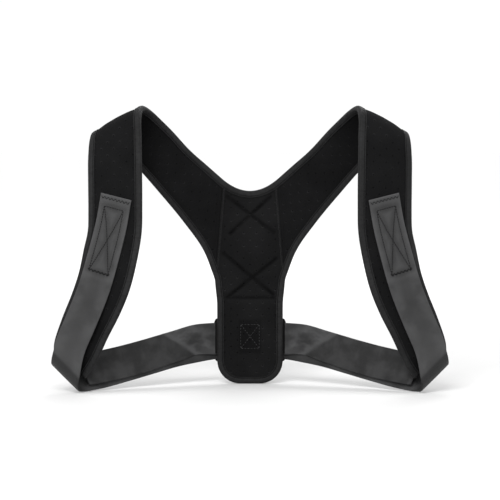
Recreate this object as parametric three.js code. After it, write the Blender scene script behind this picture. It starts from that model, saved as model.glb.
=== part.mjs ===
// Posture corrector worn over both shoulders: a quilted back panel with a tab, two padded straps that
// run over the shoulders and down the chest, edge tapes, and two webbing straps that fold under the
// arms and go back to a keeper on the tab.
// Millimetres. +X is across the wearer, +Y points behind the wearer, +Z is up. The origin is midway
// between the two shoulder turns, where the brace sits on the wearer.
import * as THREE from 'three';

// Driving dimensions
const halfSpan = 230;         // centre line to the outermost point of a strap
const trunkDepth = 120;       // room for the trunk, from the chest runs to the back panel
const braceDrop = 330;        // shoulder turns to the lowest corners
const strapWidth = 66;        // padded strap
const padEdge = 4;            // pad thickness where it is stitched
const padCrown = 2;           // what the pad gains in the middle
const shoulderBow = 2;        // how far the strap's middle stands up across the shoulder turn
const tapeCover = 8;          // edge tape, from the edge inwards
const tapeThickness = 1;
const tapeRound = 1.5;        // the fold of the tape over the edge
const webbingWidth = 38;
const webbingThickness = 1.6;
const layerGap = 1.4;         // between the two layers of webbing behind the tab
const tabWidth = 78;
const tabLength = 124;        // below the seams of the arms
const tabCornerRadius = 27;
const notchSag = 13.5;        // neck notch, below the top of the seams
const backBow = 1.5;          // how far the back panel's middle stands back between the seams
const keeperThickness = 1.5;
const keeperOverhang = 4;     // past each side of the tab
const keeperSlack = 2;        // room above and below the webbing
const returnRise = 6;         // how much higher the doubled layer lies at the tab
const seamGap = 0.5;          // between a strap and the back panel
const tapeSlack = 0.5;        // between an edge tape and what it wraps
const clearance = 0.3;

// Sections of one strap, from the seam over the shoulder to the end under the arm. inX, inY and inZ
// place the edge nearest the neck, as shares of halfSpan, trunkDepth and braceDrop. toX, toY and toZ
// lead from it to the outer edge, as shares of strapWidth. bow and crown are shares of shoulderBow and
// padCrown, and cuts is the number of sections up to the next row.
const strapRows = [
  { inX: 0.139, inY: 0.485, inZ: -0.206, toX: 0.145, toY: 0.03, toZ: -1.80, bow: 0.0, crown: 0.0, cuts: 2 },
  { inX: 0.218, inY: 0.470, inZ: -0.157, toX: 0.08, toY: 0.05, toZ: -1.51, bow: 0.0, crown: 1.0, cuts: 2 },
  { inX: 0.310, inY: 0.430, inZ: -0.100, toX: 0.08, toY: 0.06, toZ: -1.33, bow: 0.0, crown: 1.0, cuts: 2 },
  { inX: 0.397, inY: 0.355, inZ: -0.033, toX: 0.20, toY: 0.08, toZ: -1.14, bow: 0.2, crown: 1.0, cuts: 3 },
  { inX: 0.455, inY: 0.265, inZ: 0.009, toX: 0.54, toY: 0.07, toZ: -0.74, bow: 0.6, crown: 1.0, cuts: 3 },
  { inX: 0.497, inY: 0.170, inZ: 0.037, toX: 0.80, toY: 0.05, toZ: -0.58, bow: 0.9, crown: 1.0, cuts: 3 },
  { inX: 0.535, inY: 0.000, inZ: 0.050, toX: 0.88, toY: 0.06, toZ: -0.485, bow: 1.0, crown: 1.0, cuts: 3 },
  { inX: 0.544, inY: -0.160, inZ: 0.022, toX: 0.90, toY: 0.09, toZ: -0.50, bow: 0.9, crown: 1.0, cuts: 3 },
  { inX: 0.541, inY: -0.240, inZ: -0.046, toX: 0.93, toY: 0.15, toZ: -0.44, bow: 0.6, crown: 1.0, cuts: 2 },
  { inX: 0.537, inY: -0.300, inZ: -0.167, toX: 0.94, toY: 0.21, toZ: -0.28, bow: 0.3, crown: 1.0, cuts: 2 },
  { inX: 0.535, inY: -0.350, inZ: -0.288, toX: 0.94, toY: 0.23, toZ: -0.13, bow: 0.0, crown: 1.0, cuts: 2 },
  { inX: 0.537, inY: -0.385, inZ: -0.380, toX: 0.94, toY: 0.23, toZ: 0.00, bow: 0.0, crown: 1.0, cuts: 2 },
  { inX: 0.559, inY: -0.408, inZ: -0.477, toX: 0.93, toY: 0.23, toZ: 0.18, bow: 0.0, crown: 1.0, cuts: 2 },
  { inX: 0.596, inY: -0.415, inZ: -0.580, toX: 0.89, toY: 0.23, toZ: 0.28, bow: 0.0, crown: 1.0, cuts: 2 },
  { inX: 0.645, inY: -0.408, inZ: -0.664, toX: 0.84, toY: 0.23, toZ: 0.34, bow: 0.0, crown: 1.0, cuts: 2 },
  { inX: 0.707, inY: -0.385, inZ: -0.748, toX: 0.79, toY: 0.23, toZ: 0.35, bow: 0.0, crown: 1.0, cuts: 2 },
  { inX: 0.764, inY: -0.355, inZ: -0.832, toX: 0.74, toY: 0.22, toZ: 0.33, bow: 0.0, crown: 1.0, cuts: 2 },
  { inX: 0.818, inY: -0.320, inZ: -0.890, toX: 0.56, toY: 0.20, toZ: 0.47, bow: 0.0, crown: 0.0, cuts: 0 },
];

// Sections of the webbing where it lies on the strap: at counts the strap's rows, across is the share
// of the way to its outer edge, turn tilts the webbing's cross line by so many degrees, and lift is its
// height above the pad in webbing thicknesses.
const sewnRows = [
  { at: 9.62, across: 0.46, turn: 24, lift: 0.0 },
  { at: 10.75, across: 0.555, turn: 17, lift: 0.0 },
  { at: 12.05, across: 0.6, turn: 5, lift: 0.3 },
  { at: 13.25, across: 0.615, turn: -1, lift: 1.2 },
  { at: 14.1, across: 0.6, turn: -2, lift: 2.5 },
  { at: 15.0, across: 0.58, turn: 0, lift: 3.4 },
  { at: 15.8, across: 0.585, turn: 4, lift: 4.1 },
];

// Sections of the webbing from the fold under the arm to the tab. midX, midY and midZ place its
// middle as shares of halfSpan, trunkDepth and braceDrop, and toX, toY and toZ lead from its lower
// edge to its upper edge, as shares of webbingWidth.
const foldRows = [
  { midX: 0.911, midY: -0.393, midZ: -0.836, toX: 0.81, toY: 0.30, toZ: 0.76 },
  { midX: 0.921, midY: -0.352, midZ: -0.868, toX: 0.82, toY: 0.30, toZ: 0.79 },
  { midX: 0.920, midY: -0.275, midZ: -0.890, toX: 0.84, toY: 0.32, toZ: 0.77 },
  { midX: 0.894, midY: -0.206, midZ: -0.894, toX: 0.81, toY: 0.30, toZ: 0.78 },
  { midX: 0.852, midY: -0.163, midZ: -0.889, toX: 0.70, toY: 0.26, toZ: 0.85 },
  { midX: 0.751, midY: -0.066, midZ: -0.879, toX: 0.29, toY: 0.21, toZ: 0.92 },
  { midX: 0.632, midY: 0.094, midZ: -0.861, toX: 0.24, toY: 0.12, toZ: 0.95 },
  { midX: 0.511, midY: 0.245, midZ: -0.841, toX: 0.22, toY: 0.08, toZ: 0.96 },
  { midX: 0.387, midY: 0.375, midZ: -0.820, toX: 0.20, toY: 0.03, toZ: 0.97 },
  { midX: 0.289, midY: 0.480, midZ: -0.809, toX: 0.16, toY: 0.00, toZ: 0.98 },
];

// Where the webbing has doubled back on itself, from the tab to the strap's end, as in foldRows.
const returnRows = [
  { midX: 0.280, midY: 0.460, midZ: -0.782, toX: 0.12, toY: -0.10, toZ: 0.95 },
  { midX: 0.372, midY: 0.357, midZ: -0.799, toX: 0.19, toY: -0.10, toZ: 0.95 },
  { midX: 0.511, midY: 0.214, midZ: -0.826, toX: 0.21, toY: 0.05, toZ: 0.97 },
  { midX: 0.633, midY: 0.063, midZ: -0.845, toX: 0.23, toY: 0.12, toZ: 0.96 },
  { midX: 0.749, midY: -0.098, midZ: -0.858, toX: 0.29, toY: 0.20, toZ: 0.92 },
  { midX: 0.801, midY: -0.159, midZ: -0.864, toX: 0.35, toY: 0.22, toZ: 0.89 },
  { midX: 0.840, midY: -0.203, midZ: -0.868, toX: 0.45, toY: 0.24, toZ: 0.83 },
];

// Where the webbing runs behind the tab, as shares of half the tab's width and of tabLength.
const tuckedRows = [
  { inFromSide: -0.07, drop: 0.62 },
  { inFromSide: 0.40, drop: 0.61 },
  { inFromSide: 0.78, drop: 0.60 },
];

// Looks
const materials = {
  quilt: { color: 0x1d1d1e, roughness: 0.95 },
  pad: { color: 0x1b1b1c, roughness: 0.95 },
  tape: { color: 0x2f2f30, roughness: 0.8 },
  webbing: { color: 0x4a4a4b, roughness: 0.45 },
  keeper: { color: 0x3a3a3b, roughness: 0.6 },
};

const brace = new THREE.Group();

const lerp = THREE.MathUtils.lerp;
const smoothstep = THREE.MathUtils.smoothstep;
const vec = (x, y, z) => new THREE.Vector3(x, y, z);
const along = (origin, direction, distance) => origin.clone().addScaledVector(direction, distance);

// Solids

// A closed body through like sections, each the same loop of points. cap lists the triangles that
// close that loop. The second half of the loop is split the other way, so that the front and the rear
// of a strip bend along the same lines.
function closedLoft(sections, cap) {
  const count = sections[0].length;
  const positions = sections.flatMap((section) => section.flatMap((point) => point.toArray()));
  const triangles = [];
  for (let row = 0; row + 1 < sections.length; row += 1) {
    for (let i = 0; i < count; i += 1) {
      const a = row * count + i;
      const b = row * count + ((i + 1) % count);
      if (i < count / 2) {
        triangles.push([a, b, b + count], [a, b + count, a + count]);
      } else {
        triangles.push([a, b, a + count], [b, b + count, a + count]);
      }
    }
  }
  const last = (sections.length - 1) * count;
  for (const [a, b, c] of cap) {
    triangles.push([a, c, b], [last + a, last + b, last + c]);
  }
  return facingOut(positions, triangles);
}

// The triangles that close an outline, all running the way the outline runs.
function capOf(plan) {
  const triangles = THREE.ShapeUtils.triangulateShape(plan, []);
  return THREE.ShapeUtils.isClockWise(plan) ? triangles.map(([a, b, c]) => [a, c, b]) : triangles;
}

// The triangles as a geometry, turned over if their volume comes out negative.
function facingOut(positions, triangles) {
  const corner = (index) => vec(...positions.slice(3 * index, 3 * index + 3));
  let volume = 0;
  for (const [a, b, c] of triangles) {
    volume += corner(a).dot(corner(b).cross(corner(c)));
  }
  const outward = volume > 0 ? triangles : triangles.map(([a, b, c]) => [a, c, b]);
  const geometry = new THREE.BufferGeometry();
  geometry.setAttribute('position', new THREE.Float32BufferAttribute(positions, 3));
  geometry.setIndex(outward.flat());
  geometry.computeVertexNormals();
  return geometry;
}

function addPiece(name, geometry, look) {
  const material = new THREE.MeshStandardMaterial({ ...materials[look], metalness: 0 });
  const mesh = new THREE.Mesh(geometry, material);
  mesh.name = name;
  brace.add(mesh);
}

// A strip that is solid between two faces: each section has points with a place, a normal and a half
// thickness, and runs across the front face and back across the rear face.
function stripLoft(rows) {
  const sections = rows.map((row) => [
    ...row.map((p) => along(p.place, p.normal, p.half)),
    ...[...row].reverse().map((p) => along(p.place, p.normal, -p.half)),
  ]);
  const last = sections[0].length - 1;
  const cap = rows[0].slice(1).flatMap((_, i) => [[i, i + 1, last - i - 1], [i, last - i - 1, last - i]]);
  return closedLoft(sections, cap);
}

// Strap surface

// A column of a table read between its rows.
function column(rows, name, at) {
  const row = Math.min(Math.floor(at), rows.length - 2);
  return lerp(rows[row][name], rows[row + 1][name], smoothstep(at - row, 0, 1));
}

const spanPoint = (x, y, z, side) => vec(side * x * halfSpan, y * trunkDepth, z * braceDrop);

const smoothCurve = (points) => new THREE.CatmullRomCurve3(points, false, 'centripetal');

function strapEdges(side) {
  const inner = strapRows.map((row) => spanPoint(row.inX, row.inY, row.inZ, side));
  const outer = strapRows.map((row, i) => along(
    inner[i], vec(side * row.toX, row.toY, row.toZ), strapWidth));
  return { side, inner: smoothCurve(inner), outer: smoothCurve(outer) };
}

const lastStrapRow = strapRows.length - 1;

// The strap's two edge points, cross line and outward normal at a place counted in rows.
function strapFrame(edges, at) {
  const share = at / lastStrapRow;
  const inner = edges.inner.getPoint(share);
  const outer = edges.outer.getPoint(share);
  const across = outer.clone().sub(inner);
  const width = across.length();
  across.normalize();
  return { inner, outer, across, width };
}

// The strap's middle surface at a share of the way across, with its outward normal. The tangent is
// taken over rowReach, a small part of a row, to each side.
const rowReach = 0.02;

function strapPoint(edges, at, share) {
  const frame = strapFrame(edges, at);
  const before = strapFrame(edges, Math.max(at - rowReach, 0));
  const after = strapFrame(edges, Math.min(at + rowReach, lastStrapRow));
  const middle = (f) => f.inner.clone().lerp(f.outer, share);
  const tangent = middle(after).sub(middle(before)).normalize();
  const normal = tangent.clone().cross(frame.across).multiplyScalar(edges.side).normalize();
  const bow = shoulderBow * column(strapRows, 'bow', at) * 4 * share * (1 - share);
  return { place: along(middle(frame), normal, bow), normal, tangent, frame };
}

function strapStations() {
  const stations = [];
  strapRows.forEach((row, i) => {
    for (let cut = 0; cut < row.cuts; cut += 1) {
      stations.push(i + cut / row.cuts);
    }
  });
  return [...stations, lastStrapRow];
}

// How far into the strap a square distance from its edge reaches along the cross line. Where the cross
// line runs nearly along the edge, leastSlant keeps the share small.
const leastSlant = 0.12;

function squareShare(edges, at, edgeShare, distance) {
  const { tangent, frame } = strapPoint(edges, at, edgeShare);
  const slant = Math.max(tangent.clone().cross(frame.across).length(), leastSlant);
  return distance / slant / frame.width;
}

// Pads

const tapeInset = tapeThickness + tapeSlack;
const halfEdge = padEdge / 2;
const halfCrown = (padEdge + padCrown) / 2;
const crownShares = [0, 0.75, 1, 0.75, 0];
const leastMiddle = 0.1;      // share of the strap's width that its middle keeps at a narrow end

function strapPad(edges) {
  const stations = strapStations();
  const rows = stations.map((at) => {
    const inner = squareShare(edges, at, 0, tapeInset);
    const outer = 1 - squareShare(edges, at, 1, tapeInset);
    const innerCover = squareShare(edges, at, 0, tapeCover + tapeSlack);
    const outerCover = 1 - squareShare(edges, at, 1, tapeCover + tapeSlack);
    const crown = column(strapRows, 'crown', at);
    const middle = crownShares.map((rise, i) => ({
      share: lerp(innerCover, Math.max(outerCover, innerCover + leastMiddle), i / (crownShares.length - 1)),
      half: lerp(halfEdge, halfCrown, rise * crown),
    }));
    const spots = [{ share: inner, half: halfEdge }, ...middle, { share: outer, half: halfEdge }];
    return spots.map(({ share, half }) => ({ ...strapPoint(edges, at, share), half }));
  });
  return stripLoft(rows);
}

// Back panel surface: the seams lie on the straps' first sections, and the tab hangs below them.
const seam = strapRows[0];
const seamTop = spanPoint(seam.inX, seam.inY, seam.inZ, 1);
const seamEnd = along(seamTop, vec(seam.toX, seam.toY, seam.toZ), strapWidth);
const tabHalf = tabWidth / 2;
const tabBottom = seamEnd.z - tabLength;
const notchBottom = seamTop.z - notchSag;
const bowFade = 0.6;          // share of the seams, from their ends up, over which the bow comes in

function seamShare(z) {
  return THREE.MathUtils.clamp((seamTop.z - z) / (seamTop.z - seamEnd.z), 0, 1);
}

function backPoint(x, z) {
  const seamX = lerp(seamTop.x, seamEnd.x, seamShare(z));
  const fade = smoothstep(1 - seamShare(z), 0, bowFade);
  const bow = backBow * fade * (1 - Math.min(Math.abs(x) / seamX, 1) ** 2);
  return vec(x, lerp(seamTop.y, seamEnd.y, seamShare(z)) + bow, z);
}

// The back panel's rear-facing normal, from points normalReach away.
const normalReach = 1;

function backNormal(x, z) {
  const sideways = backPoint(x + normalReach, z).sub(backPoint(x - normalReach, z));
  const upwards = backPoint(x, z + normalReach).sub(backPoint(x, z - normalReach));
  return upwards.cross(sideways).normalize();
}

function notchHeight(x) {
  return notchBottom + notchSag * Math.min(Math.abs(x) / seamTop.x, 1) ** 2;
}

// Half the panel's width at a height between the seam's end and the start of the tab's round corners.
function sideHalf(z) {
  return lerp(seamEnd.x, tabHalf, smoothstep(seamEnd.z - z, 0, tabLength / 4));
}

// Points of the tab's right outline, from the seam's end down and round to the bottom's middle, each
// with the direction that leads into the panel.
function tabOutline() {
  const straightRows = 7;
  const cornerSteps = 6;
  const bottomShares = [0.5, 0];
  const cornerTop = tabBottom + tabCornerRadius;
  const points = [];
  for (let i = 0; i < straightRows; i += 1) {
    const z = lerp(seamEnd.z, cornerTop, i / straightRows);
    points.push({ x: sideHalf(z), z, inX: -1, inZ: 0 });
  }
  for (let i = 0; i <= cornerSteps; i += 1) {
    const angle = (Math.PI / 2) * (i / cornerSteps);
    points.push({
      x: tabHalf - tabCornerRadius + tabCornerRadius * Math.cos(angle),
      z: cornerTop - tabCornerRadius * Math.sin(angle),
      inX: -Math.cos(angle),
      inZ: Math.sin(angle),
    });
  }
  for (const share of bottomShares) {
    points.push({ x: (tabHalf - tabCornerRadius) * share, z: tabBottom, inX: 0, inZ: 1 });
  }
  return points;
}

// The rows of the panel run from the neck notch down. Their ends lie on the seams, and from there on
// under the outer tape: tapedFrom to tapedFully are the shares of the seams over which it takes over.
// Below sagStart, the notch's sag fades out of the rows.
function backPanel() {
  const columns = [1, 0.75, 0.5, 0.25, 0];
  const edgeFall = 4;
  const tapedFrom = 0.7;
  const tapedFully = 0.95;
  const sagStart = 0.15;
  const panelRow = (sideX, heightAt, tapedSide, crown) => {
    const cover = tapedSide ? tapeCover - tapeThickness : tapeCover / 2;
    const coverX = Math.max(sideX - cover, sideX / 2);
    const xs = [sideX, ...columns.map((share) => coverX * share)];
    const halves = [halfEdge, ...columns.map((share) => lerp(halfCrown, halfEdge, share ** edgeFall))];
    const right = xs.map((x, i) => ({ x, half: lerp(halfEdge, halves[i], crown) }));
    const left = right.slice(0, -1).map(({ x, half }) => ({ x: -x, half }));
    return [...left, ...right.reverse()].map(({ x, half }) => {
      const z = heightAt(x);
      return { place: backPoint(x, z), normal: backNormal(x, z), half };
    });
  };
  const seamRows = 10;
  const seamRun = seamTop.z - seamEnd.z;
  const topInset = tapeInset * Math.hypot(2 * notchSag / seamTop.x, 1);
  const coverDrop = tapeCover - tapeThickness;
  const drops = [0, coverDrop, ...Array.from({ length: seamRows }, (_, i) => lerp(
    coverDrop * 2, seamRun - topInset, i / (seamRows - 1)))];
  const rows = drops.map((drop) => {
    const sideZ = seamTop.z - topInset - drop;
    const share = seamShare(sideZ);
    const taped = smoothstep(share, tapedFrom, tapedFully);
    const sideX = lerp(seamTop.x, seamEnd.x, share) - seamGap - (tapeInset - seamGap) * taped;
    const sagLeft = 1 - smoothstep(share, sagStart, 1);
    const heightAt = (x) => sideZ - (notchHeight(seamTop.x) - notchHeight(x)) * sagLeft;
    return panelRow(sideX, heightAt, taped > 0, smoothstep(drop, coverDrop, 2 * coverDrop));
  });
  for (const point of tabOutline().slice(1, -2)) {
    const x = point.x + point.inX * tapeInset;
    const z = point.z + point.inZ * tapeInset;
    rows.push(panelRow(x, () => z, true, smoothstep(z - tabBottom, tapeCover, tapeCover * 2)));
  }
  return stripLoft(rows);
}

// Edge tapes

// The tape's section: distances in from the edge, and out along the normal.
const tapeHalf = halfEdge + tapeSlack + tapeThickness;
const tapeInner = tapeHalf - tapeThickness;
const tapePlan = [
  [tapeCover, -tapeHalf], [tapeRound, -tapeHalf], [0, tapeRound - tapeHalf], [0, tapeHalf - tapeRound],
  [tapeRound, tapeHalf], [tapeCover, tapeHalf], [tapeCover, tapeInner], [tapeThickness, tapeInner],
  [tapeThickness, -tapeInner], [tapeCover, -tapeInner],
].map(([inwards, out]) => new THREE.Vector2(inwards, out));
const tapeCap = capOf(tapePlan);

function tapeSection({ edge, cover }) {
  return tapePlan.map(({ x, y }) => {
    const share = x / tapeCover;
    const normal = edge.normal.clone().lerp(cover.normal, share).normalize();
    return along(edge.place.clone().lerp(cover.place, share), normal, y);
  });
}

// The tape's two ends on a strap: the strap's edge, and where the tape stops on the pad. In the flat
// run up to row squareUntil it stands square to the edge, and from row crossFrom on it follows the
// strap's cross line.
const squareUntil = 1;
const crossFrom = 3;

function strapTapeFrame(edges, at, edgeShare) {
  const edge = strapPoint(edges, at, edgeShare);
  const towardsMiddle = edgeShare === 0 ? 1 : -1;
  const depth = squareShare(edges, at, edgeShare, tapeCover);
  const deep = strapPoint(edges, at, edgeShare + towardsMiddle * depth);
  const square = edge.normal.clone().cross(edge.tangent);
  if (square.dot(edge.frame.across) * towardsMiddle < 0) {
    square.negate();
  }
  const follow = smoothstep(at, squareUntil, crossFrom);
  return {
    edge,
    cover: {
      place: along(edge.place, square, tapeCover).lerp(deep.place, follow),
      normal: edge.normal.clone().lerp(deep.normal, follow).normalize(),
    },
  };
}

function backTapeFrame(x, z, inX, inZ) {
  const spot = (reach) => ({
    place: backPoint(x + inX * reach, z + inZ * reach),
    normal: backNormal(x + inX * reach, z + inZ * reach),
  });
  return { edge: spot(0), cover: spot(tapeCover) };
}

// A tape that runs up one strap's edge, across the back panel and down the other strap's edge.
function edgeTape(left, right, edgeShare, middleFrames) {
  const stations = strapStations();
  const leftFrames = stations.map((at) => strapTapeFrame(left, at, edgeShare)).reverse();
  const rightFrames = stations.map((at) => strapTapeFrame(right, at, edgeShare));
  const frames = [...leftFrames, ...middleFrames, ...rightFrames];
  return closedLoft(frames.map(tapeSection), tapeCap);
}

function neckFrames() {
  const shares = [-0.75, -0.5, -0.25, 0, 0.25, 0.5, 0.75];
  return shares.map((share) => {
    const x = share * seamTop.x;
    const slope = 2 * notchSag * share / seamTop.x;
    const length = Math.hypot(slope, 1);
    return backTapeFrame(x, notchHeight(x), slope / length, -1 / length);
  });
}

function tabFrames() {
  const right = tabOutline().slice(1);
  const left = right.slice(0, -1).map((p) => ({ ...p, x: -p.x, inX: -p.inX }));
  return [...left, ...right.reverse()].map((p) => backTapeFrame(p.x, p.z, p.inX, p.inZ));
}

// Webbing

const halfWebbing = webbingThickness / 2;
const sewnHeight = halfCrown + clearance + halfWebbing;
const tabRear = seamEnd.y + tapeHalf;
const innerLayerY = tabRear + 2 * clearance + halfWebbing;
const outerLayerY = innerLayerY + webbingThickness + layerGap;

function webbingLine(edges) {
  const { side } = edges;
  const line = [];
  for (const row of sewnRows) {
    const { place, normal, frame } = strapPoint(edges, row.at, row.across);
    const middle = along(place, normal, sewnHeight + webbingThickness * row.lift);
    const turn = side * THREE.MathUtils.degToRad(row.turn);
    const across = frame.across.clone().applyAxisAngle(normal, turn);
    line.push({ middle, across: across.multiplyScalar(webbingWidth) });
  }
  const freeRow = (row) => ({
    middle: spanPoint(row.midX, row.midY, row.midZ, side),
    across: vec(side * row.toX, row.toY, row.toZ).multiplyScalar(webbingWidth),
  });
  const tuckedRow = (row, y, rise) => ({
    middle: vec(side * tabHalf * (1 - row.inFromSide), y, seamEnd.z - row.drop * tabLength + rise),
    across: vec(0, 0, webbingWidth),
  });
  line.push(...foldRows.map(freeRow));
  line.push(...tuckedRows.map((row) => tuckedRow(row, outerLayerY, 0)));
  line.push(...[...tuckedRows].reverse().map((row) => tuckedRow(row, innerLayerY, returnRise)));
  line.push(...returnRows.map(freeRow));
  return line;
}

// Sections per row of the webbing's line, and how near to a section its direction is taken.
const webbingCuts = 2;
const webbingReach = 0.1;

function webbingStrap(edges) {
  const line = webbingLine(edges);
  const lower = smoothCurve(line.map(({ middle, across }) => along(middle, across, -0.5)));
  const upper = smoothCurve(line.map(({ middle, across }) => along(middle, across, 0.5)));
  const count = (line.length - 1) * webbingCuts;
  const reach = webbingReach / count;
  const rows = [];
  for (let i = 0; i <= count; i += 1) {
    const share = i / count;
    const low = lower.getPoint(share);
    const high = upper.getPoint(share);
    const before = Math.max(share - reach, 0);
    const after = Math.min(share + reach, 1);
    const row = [0, 0.5, 1].map((part) => {
      const spot = (at) => lower.getPoint(at).lerp(upper.getPoint(at), part);
      const tangent = spot(after).sub(spot(before));
      const normal = tangent.cross(high.clone().sub(low)).multiplyScalar(edges.side).normalize();
      return { place: low.clone().lerp(high, part), normal, half: halfWebbing };
    });
    rows.push(row);
  }
  return stripLoft(rows);
}

// Keeper: a channel across the tab's rear that the webbing passes through.
function keeper() {
  const rear = outerLayerY + halfWebbing + 2 * clearance + keeperThickness;
  const front = tabRear + clearance;
  const middleZ = seamEnd.z - tuckedRows[1].drop * tabLength + returnRise / 2;
  const halfInside = (webbingWidth + returnRise) / 2 + keeperSlack;
  const halfOutside = halfInside + keeperThickness;
  const profile = [
    [front, -halfOutside], [rear, -halfOutside], [rear, halfOutside], [front, halfOutside],
    [front, halfInside], [rear - keeperThickness, halfInside], [rear - keeperThickness, -halfInside],
    [front, -halfInside],
  ];
  const reach = tabHalf + keeperOverhang;
  const section = (x) => profile.map(([y, z]) => vec(x, y, middleZ + z));
  const cap = capOf(profile.map(([y, z]) => new THREE.Vector2(y, z)));
  return closedLoft([section(-reach), section(reach)], cap);
}

// The brace, left and right as seen from the front

const leftEdges = strapEdges(-1);
const rightEdges = strapEdges(1);

addPiece('back_panel', backPanel(), 'quilt');
addPiece('left_strap_pad', strapPad(leftEdges), 'pad');
addPiece('right_strap_pad', strapPad(rightEdges), 'pad');
addPiece('neck_tape', edgeTape(leftEdges, rightEdges, 0, neckFrames()), 'tape');
addPiece('outer_tape', edgeTape(leftEdges, rightEdges, 1, tabFrames()), 'tape');
addPiece('left_webbing', webbingStrap(leftEdges), 'webbing');
addPiece('right_webbing', webbingStrap(rightEdges), 'webbing');
addPiece('tab_keeper', keeper(), 'keeper');

export default brace;
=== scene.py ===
"""Posture corrector brace, dressed in cloth around its frame, on a pale floor."""
import math

import bpy
import numpy as np
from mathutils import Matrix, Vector


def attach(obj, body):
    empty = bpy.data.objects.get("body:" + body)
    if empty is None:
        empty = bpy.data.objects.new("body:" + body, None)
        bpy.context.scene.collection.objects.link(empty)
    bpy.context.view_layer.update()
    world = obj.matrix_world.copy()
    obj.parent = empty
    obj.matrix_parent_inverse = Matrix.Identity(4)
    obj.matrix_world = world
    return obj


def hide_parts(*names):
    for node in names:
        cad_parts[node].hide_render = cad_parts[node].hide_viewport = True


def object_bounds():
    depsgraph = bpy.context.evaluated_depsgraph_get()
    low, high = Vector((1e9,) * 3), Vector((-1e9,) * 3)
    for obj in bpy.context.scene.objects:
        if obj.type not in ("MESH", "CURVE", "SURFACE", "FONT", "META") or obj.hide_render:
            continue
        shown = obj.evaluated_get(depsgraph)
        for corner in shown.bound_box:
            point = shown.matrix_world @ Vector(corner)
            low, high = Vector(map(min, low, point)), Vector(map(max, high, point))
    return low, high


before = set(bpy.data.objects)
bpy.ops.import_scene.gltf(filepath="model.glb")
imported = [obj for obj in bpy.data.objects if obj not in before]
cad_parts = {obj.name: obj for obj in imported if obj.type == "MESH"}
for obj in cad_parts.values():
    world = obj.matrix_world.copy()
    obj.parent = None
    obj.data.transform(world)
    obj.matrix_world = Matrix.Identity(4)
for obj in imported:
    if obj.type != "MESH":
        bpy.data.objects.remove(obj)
CAD_BOX = [list(corner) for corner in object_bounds()]

bl_info = {
    "name": "Posture Corrector Brace",
    "version": (1, 0, 0),
    "blender": (4, 5, 0),
    "location": "3D View > Sidebar > Brace",
    "description": "Builds the cloth pieces of a posture corrector brace around its frame",
    "category": "Add Mesh",
}

MM = 0.001
TINY = 1e-6
SIDES = {"left": -1, "right": 1}


def table(names, *rows):
    """The named columns of a short table, as arrays."""
    return dict(zip(names.split(), np.array(rows, float).T))


# Sections of one strap, from the seam over the shoulder to the end under the arm. in_x, in_y and in_z
# place the edge nearest the neck, as shares of half_span, trunk_depth and brace_drop. to_x, to_y and
# to_z lead from it to the outer edge, as shares of strap_width. bow and crown are shares of
# shoulder_bow and pad_crown.
STRAP = table(
    "in_x in_y in_z to_x to_y to_z bow crown",
    (0.139, 0.485, -0.206, 0.145, 0.03, -1.80, 0.0, 0.0),
    (0.218, 0.470, -0.157, 0.08, 0.05, -1.51, 0.0, 1.0),
    (0.310, 0.430, -0.100, 0.08, 0.06, -1.33, 0.0, 1.0),
    (0.397, 0.355, -0.033, 0.20, 0.08, -1.14, 0.2, 1.0),
    (0.455, 0.265, 0.009, 0.54, 0.07, -0.74, 0.6, 1.0),
    (0.497, 0.170, 0.037, 0.80, 0.05, -0.58, 0.9, 1.0),
    (0.535, 0.000, 0.050, 0.88, 0.06, -0.485, 1.0, 1.0),
    (0.544, -0.160, 0.022, 0.90, 0.09, -0.50, 0.9, 1.0),
    (0.541, -0.240, -0.046, 0.93, 0.15, -0.44, 0.6, 1.0),
    (0.537, -0.300, -0.167, 0.94, 0.21, -0.28, 0.3, 1.0),
    (0.535, -0.350, -0.288, 0.94, 0.23, -0.13, 0.0, 1.0),
    (0.537, -0.385, -0.380, 0.94, 0.23, 0.00, 0.0, 1.0),
    (0.559, -0.408, -0.477, 0.93, 0.23, 0.18, 0.0, 1.0),
    (0.596, -0.415, -0.580, 0.89, 0.23, 0.28, 0.0, 1.0),
    (0.645, -0.408, -0.664, 0.84, 0.23, 0.34, 0.0, 1.0),
    (0.707, -0.385, -0.748, 0.79, 0.23, 0.35, 0.0, 1.0),
    (0.764, -0.355, -0.832, 0.74, 0.22, 0.33, 0.0, 1.0),
    (0.818, -0.320, -0.890, 0.56, 0.20, 0.47, 0.0, 0.0),
)
LAST_ROW = len(STRAP["bow"]) - 1

# Sections of the webbing on the strap: at counts the strap's rows, across is the share of the way to
# its outer edge, turn tilts the cross line in degrees, and lift is in webbing thicknesses.
SEWN = table(
    "at across turn lift",
    (9.62, 0.46, 24, 0.0),
    (10.75, 0.555, 17, 0.0),
    (12.05, 0.6, 5, 0.3),
    (13.25, 0.615, -1, 1.2),
    (14.10, 0.6, -2, 2.5),
    (15.00, 0.58, 0, 3.4),
    (15.80, 0.585, 4, 4.1),
)

# Sections of the webbing from the fold under the arm to the tab. mid_x, mid_y and mid_z place its
# middle as shares of half_span, trunk_depth and brace_drop, and to_x, to_y and to_z lead from its lower
# edge to its upper edge, as shares of webbing_width.
FOLD = table(
    "mid_x mid_y mid_z to_x to_y to_z",
    (0.911, -0.393, -0.836, 0.81, 0.30, 0.76),
    (0.921, -0.352, -0.868, 0.82, 0.30, 0.79),
    (0.920, -0.275, -0.890, 0.84, 0.32, 0.77),
    (0.894, -0.206, -0.894, 0.81, 0.30, 0.78),
    (0.852, -0.163, -0.889, 0.70, 0.26, 0.85),
    (0.751, -0.066, -0.879, 0.29, 0.21, 0.92),
    (0.632, 0.094, -0.861, 0.24, 0.12, 0.95),
    (0.511, 0.245, -0.841, 0.22, 0.08, 0.96),
    (0.387, 0.375, -0.820, 0.20, 0.03, 0.97),
    (0.289, 0.480, -0.809, 0.16, 0.00, 0.98),
)

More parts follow.
